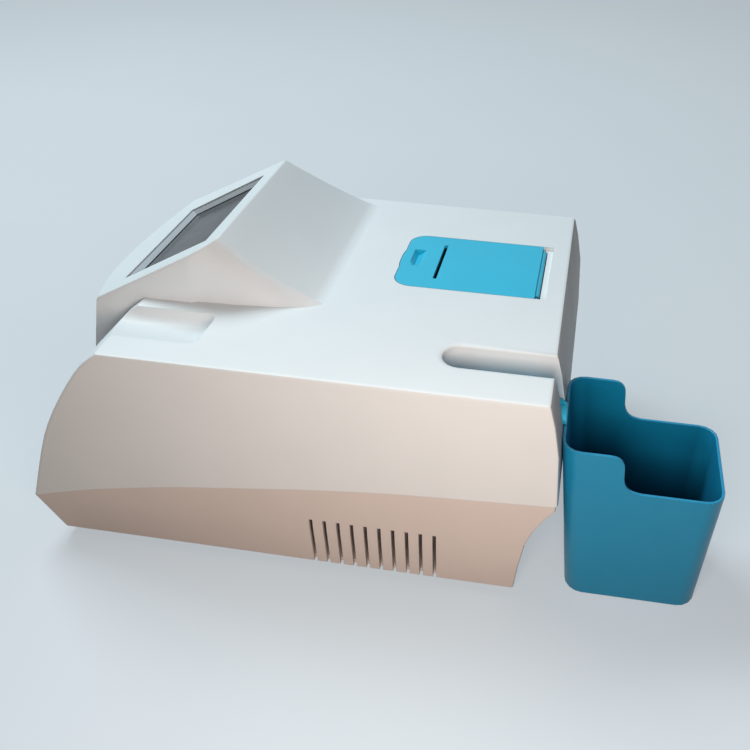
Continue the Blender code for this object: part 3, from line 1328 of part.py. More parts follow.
def strip_pusher():
    """Carriage on the guide rods, with a blade in the lane and a clip over the belt."""
    y_range = around(PUSHER_Y, PUSHER_LENGTH / 2)
    reach = around(PUSHER_Y, OVERRUN)
    body = box(
        "strip_pusher", around(LANE_X, PUSHER_HALF_WIDTH), y_range, (PUSHER_BOTTOM_Z, PUSHER_TOP_Z),
    )
    blade_y = (y_range[1] - PUSHER_BLADE_LENGTH, y_range[1] - GAP)
    join(body, box("blade", around(LANE_X, PUSHER_BLADE_HALF), blade_y, (PUSHER_BLADE_Z, PUSHER_TOP_Z - GAP)))
    lug_x = (PUSHER_LUG_X, LANE_X - PUSHER_HALF_WIDTH + GAP)
    lug_y = around(PUSHER_Y, PUSHER_LENGTH / 3)
    join(body, box("lug", lug_x, lug_y, (PUSHER_BOTTOM_Z, PUSHER_LUG_TOP_Z)))
    run_x = around(BELT_X + BELT_RADIUS, BELT_THICKNESS / 2 + BELT_FIT)
    cut(body, box("belt_slot", run_x, reach, (PUSHER_BOTTOM_Z - OVERRUN, BELT_TOP_Z + BELT_FIT)))
    for side in (-1, 1):
        cut(body, length_pin("bore", (LANE_X + side * ROD_OFFSET, ROD_Z), ROD_RADIUS + BELT_FIT, reach, 16))
    body = move_mesh(body, Matrix.Translation((-LANE_X, -PUSHER_Y, -ROD_Z)))
    body.location = (LANE_X, PUSHER_Y, ROD_Z)
    return shade_round(paint(body, (0.75, 0.75, 0.74), 0.5))


def belt_outline(radius):
    rear = circle((BELT_X, PULLEY_REAR_Y), radius, 9, 0.0, math.pi)
    front = circle((BELT_X, PULLEY_FRONT_Y), radius, 9, math.pi, math.pi)
    return rear + front


def drive_belt():
    outer = BELT_RADIUS + BELT_THICKNESS / 2
    belt = prism("drive_belt", belt_outline(outer), BELT_BOTTOM_Z, BELT_TOP_Z)
    inner = belt_outline(outer - BELT_THICKNESS)
    cut(belt, prism("inside", inner, BELT_BOTTOM_Z - OVERRUN, BELT_TOP_Z + OVERRUN))
    return shade_round(paint(belt, (0.04, 0.04, 0.042), 0.8))


def pulley(name, y, bore):
    """Flanged pulley with its origin on its axis."""
    groove = BELT_RADIUS - BELT_THICKNESS / 2 - PULLEY_FIT
    low, high = BELT_BOTTOM_Z - BELT_FIT, BELT_TOP_Z + BELT_FIT
    rim = PULLEY_FLANGE_RADIUS
    steps = (
        (rim, low - PULLEY_FLANGE), (rim, low), (groove, low),
        (groove, high), (rim, high), (rim, high + PULLEY_FLANGE),
    )
    body = loft(name, [[(x, py, z) for x, py in circle((0, 0), r, 20)] for r, z in steps])
    cut(body, upright_pin("bore", (0, 0), bore, (low - OVERRUN, high + OVERRUN), 16))
    move_mesh(body, Matrix.Translation((0, 0, -BELT_BOTTOM_Z)))
    body.location = (BELT_X, y, BELT_BOTTOM_Z)
    return shade_round(paint(body, (0.7, 0.7, 0.69), 0.35, 1.0))


def idler_pin():
    """Riveted pin with a collar under the idler and a cap over it."""
    collar_top = BELT_BOTTOM_Z - BELT_FIT - PULLEY_FLANGE - PULLEY_FIT
    cap_bottom = BELT_TOP_Z + BELT_FIT + PULLEY_FLANGE + PULLEY_FIT
    steps = (
        (PIN_RADIUS, CHASSIS_TOP_Z - CHASSIS_SHEET), (PIN_RADIUS, CHASSIS_TOP_Z + GAP),
        (PIN_COLLAR_RADIUS, CHASSIS_TOP_Z + GAP), (PIN_COLLAR_RADIUS, collar_top), (PIN_RADIUS, collar_top),
        (PIN_RADIUS, cap_bottom), (PIN_COLLAR_RADIUS, cap_bottom), (PIN_COLLAR_RADIUS, cap_bottom + PIN_CAP),
    )
    centre = (BELT_X, PULLEY_FRONT_Y)
    pin = loft("idler_pin", [[(x, y, z) for x, y in circle(centre, r, 16)] for r, z in steps])
    return shade_round(paint(pin, (0.6, 0.6, 0.61), 0.3, 1.0))


def drive_motor():
    """Stepper motor under the chassis, with its round boss in the plate's hole."""
    top = CHASSIS_TOP_Z - CHASSIS_SHEET - GAP
    x_range, y_range = around(BELT_X, MOTOR_SIDE / 2), around(PULLEY_REAR_Y, MOTOR_SIDE / 2)
    outline = rounded_rectangle(x_range, y_range, MOTOR_CORNER, 3)
    motor = prism("drive_motor", outline, top - MOTOR_HEIGHT, top)
    centre = (BELT_X, PULLEY_REAR_Y)
    join(motor, upright_pin("boss", centre, MOTOR_BOSS_RADIUS, (top - GAP, top + MOTOR_BOSS_HEIGHT), 24))
    bore = (top - MOTOR_CORNER * 2, top + OVERRUN)
    cut(motor, upright_pin("bore", centre, SHAFT_RADIUS + BELT_FIT, bore, 16))
    return shade_round(paint(motor, (0.18, 0.18, 0.19), 0.45, 0.7))


def motor_shaft():
    top = CHASSIS_TOP_Z - CHASSIS_SHEET - GAP
    low = top - MOTOR_CORNER * 2 + GAP
    high = BELT_TOP_Z + BELT_FIT + PULLEY_FLANGE + PIN_CAP / 2
    shaft = upright_pin("motor_shaft", (0, 0), SHAFT_RADIUS, (low - BELT_BOTTOM_Z, high - BELT_BOTTOM_Z), 16)
    shaft.location = (BELT_X, PULLEY_REAR_Y, BELT_BOTTOM_Z)
    return shade_round(paint(shaft, (0.6, 0.6, 0.61), 0.25, 1.0))


def optical_head():
    """Measuring head that bridges the lane, with its eye over the tile."""
    y_range = (HEAD_FRONT_Y, HEAD_REAR_Y)
    head = box("optical_head", around(LANE_X, HEAD_HALF_WIDTH), y_range, (CHASSIS_TOP_Z + GAP, HEAD_TOP_Z))
    reach = (HEAD_FRONT_Y - OVERRUN, HEAD_REAR_Y + OVERRUN)
    cut(head, box("lane", around(LANE_X, LANE_HALF_WIDTH), reach, (CHASSIS_TOP_Z - OVERRUN, LANE_TOP_Z)))
    eye = (LANE_X, TILE_Y)
    cut(head, upright_pin("eye", eye, HEAD_EYE_RADIUS, (LANE_TOP_Z - GAP, HEAD_TOP_Z + OVERRUN), 20))
    return shade_round(paint(head, (0.03, 0.03, 0.033), 0.6))


def board(name, x_range, y_range, bottom, chips):
    """Circuit board with raised chips, each given as shares of the board."""
    top = bottom + BOARD_THICKNESS
    body = box(name, x_range, y_range, (bottom, top))
    width, length = x_range[1] - x_range[0], y_range[1] - y_range[0]
    for across, along, half_across, half_along in chips:
        chip_x = around(x_range[0] + across * width, half_across * width)
        chip_y = around(y_range[0] + along * length, half_along * length)
        join(body, box("chip", chip_x, chip_y, (top - GAP, top + CHIP_HEIGHT)))
    return paint(body, (0.02, 0.16, 0.07), 0.5)


def sensor_board():
    half = HEAD_HALF_WIDTH + BOARD_MARGIN
    y_range = (HEAD_FRONT_Y - BOARD_MARGIN / 2, HEAD_REAR_Y + BOARD_MARGIN / 2)
    return board("sensor_board", around(LANE_X, half), y_range, HEAD_TOP_Z + GAP, SENSOR_CHIP_SHARES)


def main_board():
    return board("main_board", MAIN_BOARD_X, MAIN_BOARD_Y, STANDOFF_TOP_Z + GAP, MAIN_CHIP_SHARES)


def power_supply():
    """Vented metal box on the case floor."""
    bottom = CASE_BOTTOM_Z + WALL + GAP
    box_top = bottom + SUPPLY_HEIGHT
    supply = box("power_supply", SUPPLY_X, SUPPLY_Y, (bottom, box_top))
    for k in range(6):
        y = SUPPLY_Y[0] + (k + 1) * (SUPPLY_Y[1] - SUPPLY_Y[0]) / 7
        slot_x = (SUPPLY_X[0] + SUPPLY_HEIGHT / 3, SUPPLY_X[1] - SUPPLY_HEIGHT / 3)
        cut(supply, box("vent", slot_x, around(y, VENT_WIDTH), (box_top - WALL, box_top + OVERRUN)))
    return paint(supply, (0.62, 0.63, 0.64), 0.4, 1.0)


def bay_outline(grow):
    """Side outline of the printer's tub: a step for the printer and a round trough for the roll."""
    front, rear = BAY_FRONT_Y - grow, ROLL_Y + TROUGH_RADIUS + grow
    radius = TROUGH_RADIUS + grow
    dip = math.asin(grow / radius)
    trough = circle((ROLL_Y, ROLL_Z), radius, 13, math.pi + dip, math.pi - dip)
    top = FRAME_BOTTOM_Z - GAP + (0 if grow else OVERRUN)
    return [(front, top), (front, BAY_STEP_Z - grow)] + trough + [(rear, top)]


def printer_bay():
    """Tub under the cover that holds the paper roll and the printer, hung from its flange."""
    inner_x = around(PRINTER_CENTRE_X, BAY_HALF_WIDTH)
    outer_x = around(PRINTER_CENTRE_X, BAY_HALF_WIDTH + BAY_WALL)
    tub = profile_bar("printer_bay", bay_outline(BAY_WALL), *outer_x)
    top = FRAME_BOTTOM_Z - GAP
    flange_x = around(PRINTER_CENTRE_X, OPENING_HALF_WIDTH + BAY_FLANGE_MARGIN)
    flange_y = (OPENING_FRONT_Y - BAY_FLANGE_MARGIN, OPENING_REAR_Y + BAY_WALL)
    join(tub, box("flange", flange_x, flange_y, (top - BAY_WALL, top)))
    cut(tub, profile_bar("inside", bay_outline(0), *inner_x))
    for side in (-1, 1):
        wall_x = around(PRINTER_CENTRE_X + side * (BAY_HALF_WIDTH + BAY_WALL / 2), BAY_WALL)
        slot_half = SPINDLE_RADIUS + GAP
        slot_z = (ROLL_Z, top + OVERRUN)
        cut(tub, box("spindle_slot", wall_x, around(ROLL_Y, slot_half), slot_z))
        cut(tub, cross_pin("spindle_seat", (ROLL_Y, ROLL_Z), slot_half, wall_x, 16))
    return shade_round(paint(tub, (0.10, 0.10, 0.11), 0.55))


def paper_roll():
    roll = cross_pin("paper_roll", (0, 0), ROLL_RADIUS, around(0, ROLL_HALF_WIDTH), 32)
    cut(roll, cross_pin("bore", (0, 0), ROLL_BORE, around(0, ROLL_RADIUS * 2), 24))
    roll.location = (PRINTER_CENTRE_X, ROLL_Y, ROLL_Z)
    return shade_round(paint(roll, (0.85, 0.85, 0.83), 0.8))


def paper_spindle():
    """Drum that the roll turns on, with thin ends in the tub's slots."""
    end = BAY_HALF_WIDTH + BAY_WALL - GAP
    drum = BAY_HALF_WIDTH - BAY_WALL
    steps = ((SPINDLE_RADIUS, -end), (SPINDLE_RADIUS, -drum), (SPINDLE_DRUM_RADIUS, -drum))
    steps = steps + tuple((radius, -x) for radius, x in reversed(steps))
    rings = [[(PRINTER_CENTRE_X + x, y, z) for y, z in circle((ROLL_Y, ROLL_Z), r, 20)] for r, x in steps]
    return shade_round(paint(loft("paper_spindle", rings), (0.16, 0.16, 0.17), 0.5))


def pinion_centre():
    distance = GEAR_MODULE * (GEAR_TEETH + PINION_TEETH) / 2
    y = PLATEN_Y + distance * math.cos(PINION_DROP_ANGLE)
    return (y, PLATEN_Z + distance * math.sin(PINION_DROP_ANGLE))


def gear_outline(teeth, tooth_angle):
    """Involute teeth about the origin, one of them centred on the given angle."""
    pressure = math.radians(20)
    pitch = GEAR_MODULE * teeth / 2
    base = pitch * math.cos(pressure)
    root, tip = pitch - GEAR_MODULE * 1.05, pitch + GEAR_MODULE * 0.75

    def half_angle(radius):
        local = math.acos(min(1, base / radius))
        at_pitch = math.pi / (2 * teeth) - GEAR_BACKLASH / pitch
        return at_pitch + (math.tan(pressure) - pressure) - (math.tan(local) - local)

    radii = [root, max(base, root + GEAR_BACKLASH), pitch, tip]
    outline = []
    for k in range(teeth):
        middle = tooth_angle + math.tau * k / teeth
        flank = [(radius, half_angle(max(radius, base))) for radius in radii]
        for radius, half in flank:
            outline.append((radius * math.cos(middle - half), radius * math.sin(middle - half)))
        for radius, half in reversed(flank):
            outline.append((radius * math.cos(middle + half), radius * math.sin(middle + half)))
    return outline


def gear_x():
    start = PRINTER_CENTRE_X + CHEEK_OFFSET + CHEEK_SHEET + GAP * 2
    return (start, start + GEAR_WIDTH)


def platen_roller():
    """Rubber roller on its steel shaft."""
    end = gear_x()[1] - PRINTER_CENTRE_X
    steps = (
        (PLATEN_SHAFT_RADIUS, -CHEEK_OFFSET - CHEEK_SHEET - GAP), (PLATEN_SHAFT_RADIUS, -PLATEN_HALF_LENGTH),
        (PLATEN_RADIUS, -PLATEN_HALF_LENGTH), (PLATEN_RADIUS, PLATEN_HALF_LENGTH),
        (PLATEN_SHAFT_RADIUS, PLATEN_HALF_LENGTH), (PLATEN_SHAFT_RADIUS, end),
    )
    roller = loft("platen_roller", [[(x, y, z) for y, z in circle((0, 0), r, 20)] for r, x in steps])
    roller.location = (PRINTER_CENTRE_X, PLATEN_Y, PLATEN_Z)
    return shade_round(paint(roller, (0.05, 0.05, 0.055), 0.8))


def platen_gear():
    start, end = (x - PRINTER_CENTRE_X for x in gear_x())
    gear = profile_bar("platen_gear", gear_outline(GEAR_TEETH, PINION_DROP_ANGLE), start, end)
    bore = PLATEN_SHAFT_RADIUS + PULLEY_FIT / 2
    cut(gear, cross_pin("bore", (0, 0), bore, (start - OVERRUN, end + OVERRUN), 16))
    gear.location = (PRINTER_CENTRE_X, PLATEN_Y, PLATEN_Z)
    return paint(gear, (0.8, 0.8, 0.78), 0.5)


def printer_pinion():
    """Pinion with the motor's shaft that carries it."""
    start, end = (x - PRINTER_CENTRE_X for x in gear_x())
    phase = PINION_DROP_ANGLE + math.pi + math.pi / PINION_TEETH
    pinion = profile_bar("printer_pinion", gear_outline(PINION_TEETH, phase), start, end)
    shaft_x = (start - PRINTER_MOTOR_RADIUS, end - GAP)
    join(pinion, cross_pin("shaft", (0, 0), PINION_SHAFT_RADIUS, shaft_x, 12))
    y, z = pinion_centre()
    pinion.location = (PRINTER_CENTRE_X, y, z)
    return paint(pinion, (0.75, 0.62, 0.35), 0.35, 1.0)


def printer_motor():
    end = PRINTER_CENTRE_X + CHEEK_OFFSET - GAP
    centre = pinion_centre()
    motor = cross_pin("printer_motor", centre, PRINTER_MOTOR_RADIUS, (end - PRINTER_MOTOR_LENGTH, end), 24)
    bore_x = (end - PRINTER_MOTOR_RADIUS, end + OVERRUN)
    cut(motor, cross_pin("bore", centre, PINION_SHAFT_RADIUS + ROD_FIT, bore_x, 12))
    return shade_round(paint(motor, (0.55, 0.56, 0.57), 0.35, 1.0))


def printer_frame():
    """Sheet-metal base with two cheeks that hold the platen."""
    bottom = BAY_STEP_Z + GAP
    outer = CHEEK_OFFSET + CHEEK_SHEET
    y_range = (CHEEK_FRONT_Y, CHEEK_REAR_Y)
    frame = box("printer_frame", around(PRINTER_CENTRE_X, outer), y_range, (bottom, CHEEK_TOP_Z))
    reach = (CHEEK_FRONT_Y - OVERRUN, CHEEK_REAR_Y + OVERRUN)
    inside = (bottom + CHEEK_SHEET, CHEEK_TOP_Z + OVERRUN)
    cut(frame, box("inside", around(PRINTER_CENTRE_X, CHEEK_OFFSET), reach, inside))
    through = around(PRINTER_CENTRE_X, CHEEK_OFFSET * 2)
    cut(frame, cross_pin("platen_hole", (PLATEN_Y, PLATEN_Z), PLATEN_SHAFT_RADIUS + ROD_FIT, through, 16))
    near_cheek = around(PRINTER_CENTRE_X + CHEEK_OFFSET, CHEEK_SHEET * 2)
    cut(frame, cross_pin("shaft_hole", pinion_centre(), PLATEN_SHAFT_RADIUS, near_cheek, 12))
    return paint(frame, (0.6, 0.61, 0.62), 0.4, 1.0)


def print_head():
    """Thermal head plate between the cheeks, behind the platen."""
    half = CHEEK_OFFSET - GAP
    y_range = (PRINTHEAD_FRONT_Y, PRINTHEAD_REAR_Y)
    head = box("print_head", around(PRINTER_CENTRE_X, half), y_range, (PRINTHEAD_BOTTOM_Z, PRINTHEAD_TOP_Z))
    return paint(head, (0.25, 0.26, 0.28), 0.35, 0.6)


def port_body(name, y, half, flange_grow, colour, metallic=0.0):
    """Port with a flange on the panel and a body through its cut-out."""
    half_length, half_height = half
    outer_x = PORT_FACE_X - PORT_SEAT
    flange_y = around(y, half_length + flange_grow)
    flange_z = around(PORT_Z, half_height + flange_grow)
    body = box(name, (outer_x - PORT_FLANGE, outer_x), flange_y, flange_z)
    depth_x = (outer_x - PORT_FLANGE / 2, PORT_FACE_X + PORT_BODY_DEPTH)
    join(body, box("body", depth_x, around(y, half_length), around(PORT_Z, half_height)))
    return paint(body, colour, 0.45, metallic)


def port_well(y, half_length, half_height, depth):
    outer_x = PORT_FACE_X - PORT_SEAT - PORT_FLANGE
    x_range = (outer_x - OVERRUN, outer_x + depth)
    return box("well", x_range, around(y, half_length), around(PORT_Z, half_height))


def power_inlet():
    """Mains inlet: a shrouded socket with three blades."""
    half_length, half_height = INLET_PORT_HALF
    body = port_body("power_inlet", INLET_PORT_Y, INLET_PORT_HALF, PORT_LIP * 1.5, (0.03, 0.03, 0.032))
    depth = PORT_BODY_DEPTH * 0.75
    cut(body, port_well(INLET_PORT_Y, half_length - PORT_LIP, half_height - PORT_LIP, depth))
    floor_x = PORT_FACE_X - PORT_SEAT - PORT_FLANGE + depth
    for share_y, share_z in INLET_BLADE_SHARES:
        y = INLET_PORT_Y + share_y * half_length
        z = PORT_Z + share_z * half_height
        blade_x = (PORT_FACE_X + PORT_BODY_DEPTH / 4, floor_x + PORT_FLANGE / 2)
        join(body, box("blade", blade_x, around(y, PORT_LIP / 2), around(z, PORT_LIP)))
    return body


def power_switch():
    """Switch body with a well for the rocker and two pivot holes."""
    body = port_body("power_switch", SWITCH_Y, SWITCH_HALF, PORT_LIP, (0.03, 0.03, 0.032))
    well_half = ROCKER_HALF_LENGTH + ROCKER_WELL_FIT
    cut(body, port_well(SWITCH_Y, well_half, ROCKER_HALF_WIDTH + GAP, ROCKER_WELL_DEPTH))
    pivot_z = around(PORT_Z, ROCKER_HALF_WIDTH + ROCKER_PIVOT_RADIUS + GAP)
    pivot = upright_pin("pivot_hole", (ROCKER_AXIS_X, SWITCH_Y), ROCKER_PIVOT_RADIUS + ROD_FIT, pivot_z, 12)
    cut(body, pivot)
    return body


def power_rocker():
    """Rocker with its origin on its pivot, resting in the off position."""
    profile = [(-ROCKER_RISE * out, ROCKER_HALF_LENGTH * along) for out, along in ROCKER_SHARES]
    rocker = prism("power_rocker", profile, -ROCKER_HALF_WIDTH, ROCKER_HALF_WIDTH)
    pivot_half = ROCKER_HALF_WIDTH + ROCKER_PIVOT_RADIUS
    join(rocker, upright_pin("pivot", (0, 0), ROCKER_PIVOT_RADIUS, (-pivot_half, pivot_half), 12))
    move_mesh(rocker, Matrix.Rotation(-ROCKER_TILT, 4, "Z"))
    rocker.location = (ROCKER_AXIS_X, SWITCH_Y, PORT_Z)
    return paint(rocker, (0.35, 0.02, 0.02), 0.4)


def serial_port():
    """Nine-pin port: a metal flange with a hollow shroud."""
    half_length, half_height = SERIAL_HALF
    body = port_body("serial_port", SERIAL_Y, SERIAL_HALF, PORT_LIP, (0.6, 0.61, 0.62), 1.0)
    lip = PORT_LIP / 2
    cut(body, port_well(SERIAL_Y, half_length - lip, half_height - lip, PORT_BODY_DEPTH / 3))
    return body


def usb_port():
    """Square port with a tongue in its shroud."""
    half_length, half_height = USB_HALF
    body = port_body("usb_port", USB_Y, USB_HALF, PORT_LIP / 2, (0.6, 0.61, 0.62), 1.0)
    lip = PORT_LIP / 2
    cut(body, port_well(USB_Y, half_length - lip, half_height - lip, PORT_BODY_DEPTH / 2))
    tongue_x = (PORT_FACE_X + PORT_BODY_DEPTH / 5, PORT_FACE_X + PORT_BODY_DEPTH / 2)
    join(body, box("tongue", tongue_x, around(USB_Y, half_length / 2), around(PORT_Z, half_height / 3)))
    return body


def set_pivot(obj, pivot):
    """Move the object's origin without moving its shape."""
    move_mesh(obj, Matrix.Translation(pivot).inverted())
    obj.location = pivot
    return obj


def centre_on_row():
    """Move everything along Y, so that the part's box is centred over the origin."""
    rear = max(y for _, y, _ in bin_ring(BIN_LOW_Z, 0))
    shift = -(NOSE_START_Y - NOSE_REACH + rear) / 2
    for obj in bpy.data.objects:
        obj.location.y += shift


def build():
    clear_scene()
    upper_shell()
    lower_shell()
    feet()
    case_screws()
    chassis_screws()
    set_pivot(printer_cover(), (PRINTER_CENTRE_X, HINGE_Y, HINGE_Z))
    for make in (
        cover_hinge_pin, screen_gasket, touch_glass, display_module, display_bracket,
        lane_chassis, strip_rail, reference_tile, rod_blocks, guide_rods, strip_pusher, drive_belt,
        idler_pin, drive_motor, motor_shaft, optical_head, sensor_board, main_board, power_supply,
        printer_bay, paper_roll, paper_spindle, printer_frame, print_head, platen_roller, platen_gear,
        printer_pinion, printer_motor, power_inlet, power_switch, power_rocker, serial_port, usb_port,
        waste_bin,
    ):
        make()
    pulley("drive_pulley", PULLEY_REAR_Y, SHAFT_RADIUS + PULLEY_FIT / 2)
    pulley("idler_pulley", PULLEY_FRONT_Y, PIN_RADIUS + PULLEY_FIT)
    centre_on_row()


build()
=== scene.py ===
"""Looks of the urine analyzer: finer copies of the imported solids, their finishes, a floor and light."""

import json
import math

import bmesh
import bpy
from mathutils import Matrix, Vector

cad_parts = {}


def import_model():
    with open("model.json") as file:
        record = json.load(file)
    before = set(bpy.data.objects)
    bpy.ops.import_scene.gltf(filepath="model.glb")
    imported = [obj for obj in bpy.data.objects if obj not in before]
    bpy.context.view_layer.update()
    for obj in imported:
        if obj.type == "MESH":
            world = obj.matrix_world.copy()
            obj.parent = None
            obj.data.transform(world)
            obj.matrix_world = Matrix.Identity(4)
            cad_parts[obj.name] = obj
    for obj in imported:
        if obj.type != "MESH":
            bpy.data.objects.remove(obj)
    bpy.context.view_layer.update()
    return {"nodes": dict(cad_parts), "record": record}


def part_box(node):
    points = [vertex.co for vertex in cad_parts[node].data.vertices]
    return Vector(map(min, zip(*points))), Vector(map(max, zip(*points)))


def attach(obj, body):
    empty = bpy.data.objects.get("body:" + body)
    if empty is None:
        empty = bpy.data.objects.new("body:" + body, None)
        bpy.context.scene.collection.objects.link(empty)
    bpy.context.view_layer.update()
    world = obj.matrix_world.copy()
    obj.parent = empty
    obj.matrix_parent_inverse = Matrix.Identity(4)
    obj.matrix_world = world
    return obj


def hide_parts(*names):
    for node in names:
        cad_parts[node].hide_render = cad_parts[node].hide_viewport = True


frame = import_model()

# Camera, fitted to the photo
VIEW_AZIMUTH = math.radians(97.74)
VIEW_ELEVATION = math.radians(35.20)
VIEW_ROLL = math.radians(1.98)
VIEW_PLACE = Vector((0.6127, 0.1418, 0.5386))
LENS_MM = 41.95
SENSOR_MM = 36.0
SHIFT_X = -0.12

# Floor
FLOOR_REACH = 6.0
FLOOR_SHADE = (0.30, 0.31, 0.32)
FLOOR_GLOW = (0.36, 0.40, 0.43)
FLOOR_BOUNCE = (0.30, 0.24, 0.20)
FLOOR_MOTTLE = 0.02
FLOOR_PATCH_SCALE = 3.0

# World: its tint, the light it gives and how bright it is where it is seen
WORLD_TINT = (0.86, 0.92, 1.0)
WORLD_LIGHT = 0.08
WORLD_PALE = 0.62

# Lamps: one that isn't glossy lights the surfaces without a highlight of its own
LAMPS = {
    "top": dict(
        place=(-0.70, -1.00, 2.10), target=(0.0, -0.02, 0.15), size=(1.3, 0.9),
        power=49.0, colour=(0.80, 0.945, 1.0), glossy=True,
    ),
    "side": dict(
        place=(0.54, 0.11, 0.36), target=(0.15, 0.10, 0.13), size=(0.20, 0.20),
        power=1.85, colour=(1.0, 0.88, 0.80), glossy=False,
    ),
}

# Meshes
WELD = 0.00001
FLAT_ANGLE = math.radians(0.6)
SHARP_ANGLE = math.radians(32.0)
ROUND_WIDTH = 0.0004
ROUND_SEGMENTS = 2
ROUND_PLAIN = ("upper_shell", "lower_shell")
NORMAL_WEIGHT = 80

# The display's face points up by more than this, and the seal's rim, painted dark as the shadow in the gap
# at the opening's edge, lies within this depth and lean of it
FACE_RISE = 0.5
SHADOW_RIM_DEPTH = 0.0003
SHADOW_RIM_LEAN = -0.1

# Scales of the finishes, in steps a metre, and their small lengths in metres
PATCH_SCALE = 22.0
BREAK_SCALE = 160.0
RUB_SCALE = 60.0
TRACK_SCALE = 260.0
PAPER_LAYER = 0.0007
EDGE_WEAR_RADIUS = 0.0009
EDGE_SOFTNESS = 0.0005
# Reach of the painted shade that darkens a piece's hollows
PAINTED_SHADE_REACH = 0.09

# How fine each noise is, and the values between which a pattern goes from none to full
NOISE_ROUGHNESS = 0.55
PATCH_DETAIL = 3.0
BREAK_DETAIL = 4.0
RUB_DETAIL = 5.0
GRAIN_DETAIL = 3.0
PATCH_RANGE = (0.3, 0.7)
BREAK_RANGE = (0.42, 0.62)
RUB_RANGE = (0.25, 0.75)
EDGE_RANGE = (0.995, 0.85)
TRACK_RANGE = (0.42, 0.48)
# Where the painted shade in hollows goes from none to full
PAINTED_SHADE_RANGE = (0.35, 0.95)
NORMAL_SAMPLES = 4
# Samples of the painted shade in hollows
PAINTED_SHADE_SAMPLES = 8

# Strengths and colours of what is laid over a finish
ROUGHNESS_SPREAD = 0.06
BUMP_STRENGTH = 0.35
WORN_TONE = 0.75
WORN_SHARE = 0.35
RING_SHARE = 0.35
RING_COLOUR = (0.52, 0.50, 0.46)
TRACK_SHARE = 0.7
TRACK_COLOUR = (0.05, 0.24, 0.08)

# Sockets of a colour's Mix node
MIX_INPUTS = (0, 6, 7)
MIX_RESULT = 2

COLOURS = {
    "case_white": (0.80, 0.82, 0.83),
    # The case white painted darker and warmer for the lower shell: painted shade and painted warm bounce
    # light
    "case_white_painted_shade": (0.73, 0.645, 0.60),
    "seal_grey": (0.50, 0.52, 0.54),
    # Painted shadow for the seal's rim at the opening's edge
    "seal_painted_shadow": (0.045, 0.048, 0.052),
    "screen_glass": (0.028, 0.031, 0.035),
    "module_metal": (0.45, 0.46, 0.47),
    "sheet_steel": (0.56, 0.57, 0.58),
    "teal_cover": (0.022, 0.50, 0.72),
    "teal_bin": (0.008, 0.27, 0.48),
    "steel": (0.58, 0.58, 0.59),
    "white_tile": (0.85, 0.85, 0.84),
    "black_plastic": (0.018, 0.018, 0.020),
    "ivory_plastic": (0.72, 0.70, 0.62),
    "rubber": (0.02, 0.02, 0.02),
    "pulley_metal": (0.66, 0.66, 0.65),
    "motor_metal": (0.11, 0.115, 0.12),
    "circuit_board": (0.02, 0.13, 0.05),
    "paper": (0.80, 0.80, 0.77),
    "brass": (0.62, 0.45, 0.18),
    "rocker_red": (0.42, 0.02, 0.02),
}

# Grain drawn out along one axis
ALONG_X = (1.0, 10.0, 10.0)
ALONG_Y = (10.0, 1.0, 10.0)
ALONG_Z = (10.0, 10.0, 1.0)

FINISHES = {
    "case_white": dict(
        roughness=0.46, mottle=0.012, grain_scale=1500, grain_depth=6e-5, wear=0.25, level=0.15,
    ),
    # Finish of the painted-shade copy of the case white
    "case_white_painted_shade": dict(
        roughness=0.48, mottle=0.015, grain_scale=1500, grain_depth=6e-5, wear=0.25, level=0.15,
    ),
    "seal_grey": dict(roughness=0.55, mottle=0.03, grain_scale=1200, grain_depth=8e-5, wear=0.3),
    # Finish of the painted shadow on the seal's rim
    "seal_painted_shadow": dict(roughness=0.60, mottle=0.05, grain_scale=1200, grain_depth=8e-5, wear=0.2),
    "screen_glass": dict(
        roughness=0.16, mottle=0.02, grain_scale=300, grain_depth=1e-5, wear=0.2, level=0.2,
    ),
    "module_metal": dict(
        roughness=0.38, mottle=0.04, grain_scale=500, grain_depth=4e-5, wear=0.5,
        metallic=0.9, stretch=ALONG_X,
    ),
    "sheet_steel": dict(
        roughness=0.40, mottle=0.06, grain_scale=400, grain_depth=5e-5, wear=0.5,
        metallic=0.9, stretch=ALONG_X,
    ),
    "teal_cover": dict(roughness=0.38, mottle=0.02, grain_scale=1500, grain_depth=6e-5, wear=0.35),
    "teal_bin": dict(
        roughness=0.36, mottle=0.03, grain_scale=1300, grain_depth=6e-5, wear=0.35,
        # The bin's inside is darkened toward this colour: painted shade
        hollow_shade_colour=(0.003, 0.075, 0.14),
    ),
    "steel": dict(
        roughness=0.26, mottle=0.04, grain_scale=600, grain_depth=3e-5, wear=0.5,
        metallic=1.0, stretch=ALONG_Y,
    ),
    "white_tile": dict(roughness=0.20, mottle=0.01, grain_scale=900, grain_depth=2e-5, wear=0.2),
    "black_plastic": dict(roughness=0.48, mottle=0.08, grain_scale=1300, grain_depth=8e-5, wear=0.35),
    "ivory_plastic": dict(roughness=0.45, mottle=0.03, grain_scale=1300, grain_depth=6e-5, wear=0.3),
    "rubber": dict(roughness=0.75, mottle=0.10, grain_scale=900, grain_depth=1.2e-4, wear=0.4),
    "pulley_metal": dict(
        roughness=0.30, mottle=0.04, grain_scale=700, grain_depth=4e-5, wear=0.5,
        metallic=1.0, stretch=ALONG_Z,
    ),
    "motor_metal": dict(
        roughness=0.42, mottle=0.06, grain_scale=900, grain_depth=6e-5, wear=0.5, metallic=0.5,
    ),
    "circuit_board": dict(
        roughness=0.35, mottle=0.10, grain_scale=500, grain_depth=8e-5, wear=0.3, pattern="tracks",
    ),
    "paper": dict(
        roughness=0.70, mottle=0.015, grain_scale=900, grain_depth=6e-5, wear=0.1, pattern="rings",
    ),
    "brass": dict(roughness=0.28, mottle=0.05, grain_scale=700, grain_depth=4e-5, wear=0.5, metallic=1.0),
    "rocker_red": dict(roughness=0.32, mottle=0.04, grain_scale=1200, grain_depth=4e-5, wear=0.3),
}

